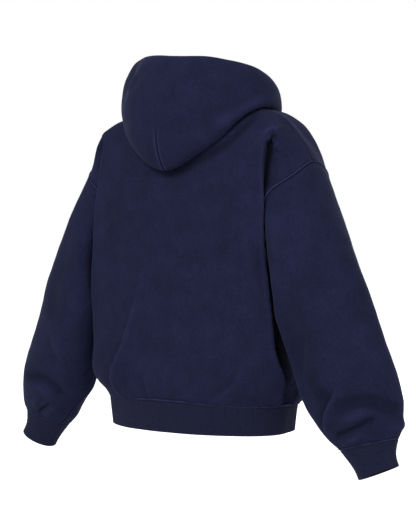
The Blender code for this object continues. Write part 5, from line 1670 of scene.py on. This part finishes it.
# %% Middle line of the zip
def down_the_zip(away):
    """Points and outward directions down the left front and on down the band, a distance in from the edge."""
    cloth, cloth_out = line_beside(front_left, "start", away, on_face=0)
    band, band_out = line_beside(hem_band, "end", away, on_face=0)
    return np.vstack([cloth, band[1:]]), np.vstack([cloth_out, band_out[1:]])


edge_line, edge_out = down_the_zip(0)
tape_line, tape_out = down_the_zip(TAPE_REACH - ZIP_EDGE)
on_front = np.arange(len(edge_line)) < len(BODY_ROWS)
room = (np.where(on_front, WALL, RIB_WALL) / 2 + TAPE_CLEAR + TAPE / 2)[:, None]
zip_line = (edge_line - room * edge_out) * (0, 1, 1)
print("zip is", round(float(np.linalg.norm(np.diff(zip_line, axis=0), axis=1).sum()), 3), "m long")

# %% Tapes
TAPE_COLUMNS = np.linspace(0, 1, 9)


def zip_tape(name, side):
    """One tape, from beside the teeth to its sewn edge under the cloth."""
    grid = np.stack([zip_line + (CHAIN_HALF + GAP, 0, 0), zip_line + (ZIP_EDGE, 0, 0),
                     tape_line - room * tape_out], 1)
    places = spline_weights([0, 0.3, 1], TAPE_COLUMNS) @ grid
    piece = Cloth(name, np.linspace(0, 1, len(grid)), TAPE_COLUMNS, places * (side, 1, 1), TAPE, side)
    cloth = wall_object(piece, tape)
    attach(cloth, "garment")
    return cloth


for side, name in ((1, "zip_tape_left"), (-1, "zip_tape_right")):
    made[name] = zip_tape(name + "_woven", side)
    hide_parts(name)

# %% One tooth
TOOTH_PITCH = 2.9 * MM
TOOTH_TALL = 1.15 * MM
TOOTH_REACH = 1.0 * MM       # past the middle of the zip, between two teeth of the other row
TOOTH_STARTS = 0.4 * MM      # its thick part starts this far from the middle
TOOTH_TIP = (1, 0.62, 0.72)  # shares of depth and height that are left at its tip
TOOTH_BEVEL = 0.16 * MM

bpy.ops.object.select_all(action="DESELECT")
bpy.ops.mesh.primitive_cube_add(size=1, location=(0, 0, 0))
tooth = bpy.context.object
tooth.name = "one_tooth"
bpy.ops.object.mode_set(mode="EDIT")
bpy.ops.mesh.select_all(action="SELECT")
bpy.ops.transform.resize(value=(CHAIN_HALF - TOOTH_STARTS, CHAIN_DEEP, TOOTH_TALL))
bpy.ops.transform.translate(value=((CHAIN_HALF + TOOTH_STARTS) / 2, 0, 0))
bpy.ops.mesh.select_mode(type="FACE")
bpy.ops.object.mode_set(mode="OBJECT")
for face in tooth.data.polygons:
    face.select = face.normal.x < -0.9
bpy.ops.object.mode_set(mode="EDIT")
bpy.ops.mesh.extrude_region_move(TRANSFORM_OT_translate={"value": (-TOOTH_REACH - TOOTH_STARTS, 0, 0)})
bpy.ops.transform.resize(value=TOOTH_TIP)
bpy.ops.mesh.select_all(action="SELECT")
bpy.ops.mesh.bevel(offset=TOOTH_BEVEL, segments=1)
bpy.ops.object.mode_set(mode="OBJECT")
tooth_points = np.array([v.co for v in tooth.data.vertices])
tooth_faces = [list(f.vertices) for f in tooth.data.polygons]
print("one tooth has", len(tooth_faces), "faces")
bpy.data.objects.remove(tooth)

# %% Two rows of teeth between the slider and the box
CHAIN_CLEAR = 0.5 * MM
chain_low, chain_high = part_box("zip_chain")
heights = zip_line[:, 2]
shown = (heights < chain_high.z - CHAIN_CLEAR) & (heights > chain_low.z + CHAIN_CLEAR)
chain_line = zip_line[shown][::-1]
chain_out = (edge_out * (0, 1, 1))[shown][::-1]
teeth_left = copies_along("zip_teeth_left", tooth_points, tooth_faces, chain_line, chain_out,
                          TOOTH_PITCH, metal)
teeth_right = copies_along("zip_teeth_right", tooth_points * (-1, 1, 1), [face[::-1] for face in tooth_faces],
                           chain_line, chain_out, TOOTH_PITCH, metal, offset=TOOTH_PITCH / 2)
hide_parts("zip_chain")

# %% Plating of the small parts
for name in ("zip_slider", "zip_pull", "zip_stop_left", "zip_stop_right", "zip_box"):
    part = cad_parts[name]
    part.data.materials.clear()
    part.data.materials.append(metal)

# %% [markdown]
# ## Flat sizes
# Each cloth piece was cut flat.  Its length down the cloth and its width along each row are measured
# here, and nothing further is done with them.


for piece in fleece_pieces + rib_pieces:
    rows_run, columns_run = piece.run_from("top")[-1], piece.run_from("start")[:, -1]

# %% [markdown]
# ## Floor, light and camera
# The floor is plain and pale.  Broad soft lamps stand all round, a little stronger behind the garment, and
# together with the room's own light they add up to a level at which a colour shows about as it is written.

# %% Floor
FLOOR_DROP = 0.12            # the garment hangs this much above it
FLOOR_SIZE = 30
FLOOR_GLOW = 0.8
bpy.ops.object.select_all(action="DESELECT")
bpy.ops.mesh.primitive_plane_add(size=FLOOR_SIZE, location=(0, 0, cad_box[0][2] - FLOOR_DROP))
floor = bpy.context.object
floor.name = "floor"


def looked_at(tree):
    """1 for what is seen straight on, in gloss or through glass, and 0 for what only lights the scene."""
    light = add_node(tree, "ShaderNodeLightPath")
    seen = add_node(tree, "ShaderNodeMath", {"operation": "MAXIMUM"}, {
        0: light.outputs["Is Camera Ray"], 1: light.outputs["Is Glossy Ray"]})
    seen = add_node(tree, "ShaderNodeMath", {"operation": "MAXIMUM"}, {
        0: seen.outputs[0], 1: light.outputs["Is Transmission Ray"]})
    return seen.outputs[0]


def matt_white_paper():
    """The floor: plain pale paper that still takes the soft shadow of what hangs above it."""
    material, tree = start_material("matt white paper")
    paper = add_node(tree, "ShaderNodeBsdfDiffuse", inputs={"Color": dye("#e6e6e6")})
    share = add_node(tree, "ShaderNodeMath", {"operation": "MULTIPLY"}, {0: looked_at(tree), 1: FLOOR_GLOW})
    glow = add_node(tree, "ShaderNodeEmission", inputs={"Color": (1, 1, 1, 1), "Strength": share.outputs[0]})
    mixed = add_node(tree, "ShaderNodeAddShader", inputs={0: paper.outputs[0], 1: glow.outputs[0]})
    finish_material(tree, mixed)
    return material


floor.data.materials.append(matt_white_paper())

# %% Room light and lamps
ROOM_LIGHT = 0.42
LAMPS = [  # name, azimuth from behind the garment, height above its middle, distance, size, strength
    ("key",         5, 1.6, 3.0, 1.8, 0.46),
    ("fill",       75, 0.9, 3.2, 2.2, 0.20),
    ("front key", 190, 0.5, 3.0, 1.8, 0.32),
    ("front fill", 250, 0.6, 3.2, 2.2, 0.04),
    ("top",         0, 3.0, 0.0, 2.6, 0.06),
]


def plain_room():
    """White where it is looked at, and a weaker light on the garment."""
    world = bpy.data.worlds.new("plain room")
    world.use_nodes = True
    tree = world.node_tree
    tree.nodes.clear()
    strength = add_node(tree, "ShaderNodeMapRange", inputs={
        "Value": looked_at(tree), "To Min": ROOM_LIGHT, "To Max": 1.0})
    room_light = add_node(tree, "ShaderNodeBackground", inputs={
        "Color": (1, 1, 1, 1), "Strength": strength.outputs[0]})
    add_node(tree, "ShaderNodeOutputWorld", inputs={"Surface": room_light.outputs[0]})
    return world


bpy.context.scene.world = plain_room()
middle = (Vector(cad_box[0]) + Vector(cad_box[1])) / 2
for name, azimuth, height, distance, size, strength in LAMPS:
    lamp = bpy.data.lights.new(name, "AREA")
    lamp.shape = "SQUARE"
    lamp.size = size
    turned = radians(azimuth)
    place = middle + Vector((-sin(turned) * distance, cos(turned) * distance, height))
    # this energy lights a matt face that is turned to the lamp as strongly as a world of strength 1
    lamp.energy = strength * pi ** 2 * (place - middle).length_squared
    holder = bpy.data.objects.new(name, lamp)
    holder.location = place
    holder.rotation_euler = (middle - place).to_track_quat("-Z", "Y").to_euler()
    bpy.context.scene.collection.objects.link(holder)

# %% Camera
CAMERA_TURN = radians(36)    # from straight behind, towards the wearer's right
CAMERA_LIFT = radians(1.3)
CAMERA_AWAY = 3.2            # in metres
LENS = 110.8                 # in mm, on a 36 mm tall picture
AIM = Vector((0, 0, -0.30))
SIDESTEP = 0.006             # in metres, towards the right of the picture

towards = Vector((-sin(CAMERA_TURN) * cos(CAMERA_LIFT), cos(CAMERA_TURN) * cos(CAMERA_LIFT),
                  sin(CAMERA_LIFT)))
rightwards = Vector((-cos(CAMERA_TURN), -sin(CAMERA_TURN), 0))
camera_data = bpy.data.cameras.new("camera")
camera_data.lens = LENS
camera = bpy.data.objects.new("camera", camera_data)
camera.location = AIM + SIDESTEP * rightwards + CAMERA_AWAY * towards
camera.rotation_euler = (-towards).to_track_quat("-Z", "Y").to_euler()
bpy.context.scene.collection.objects.link(camera)
bpy.context.scene.camera = camera
bpy.context.scene.view_settings.view_transform = "Standard"

# %% The end
bpy.context.view_layer.update()
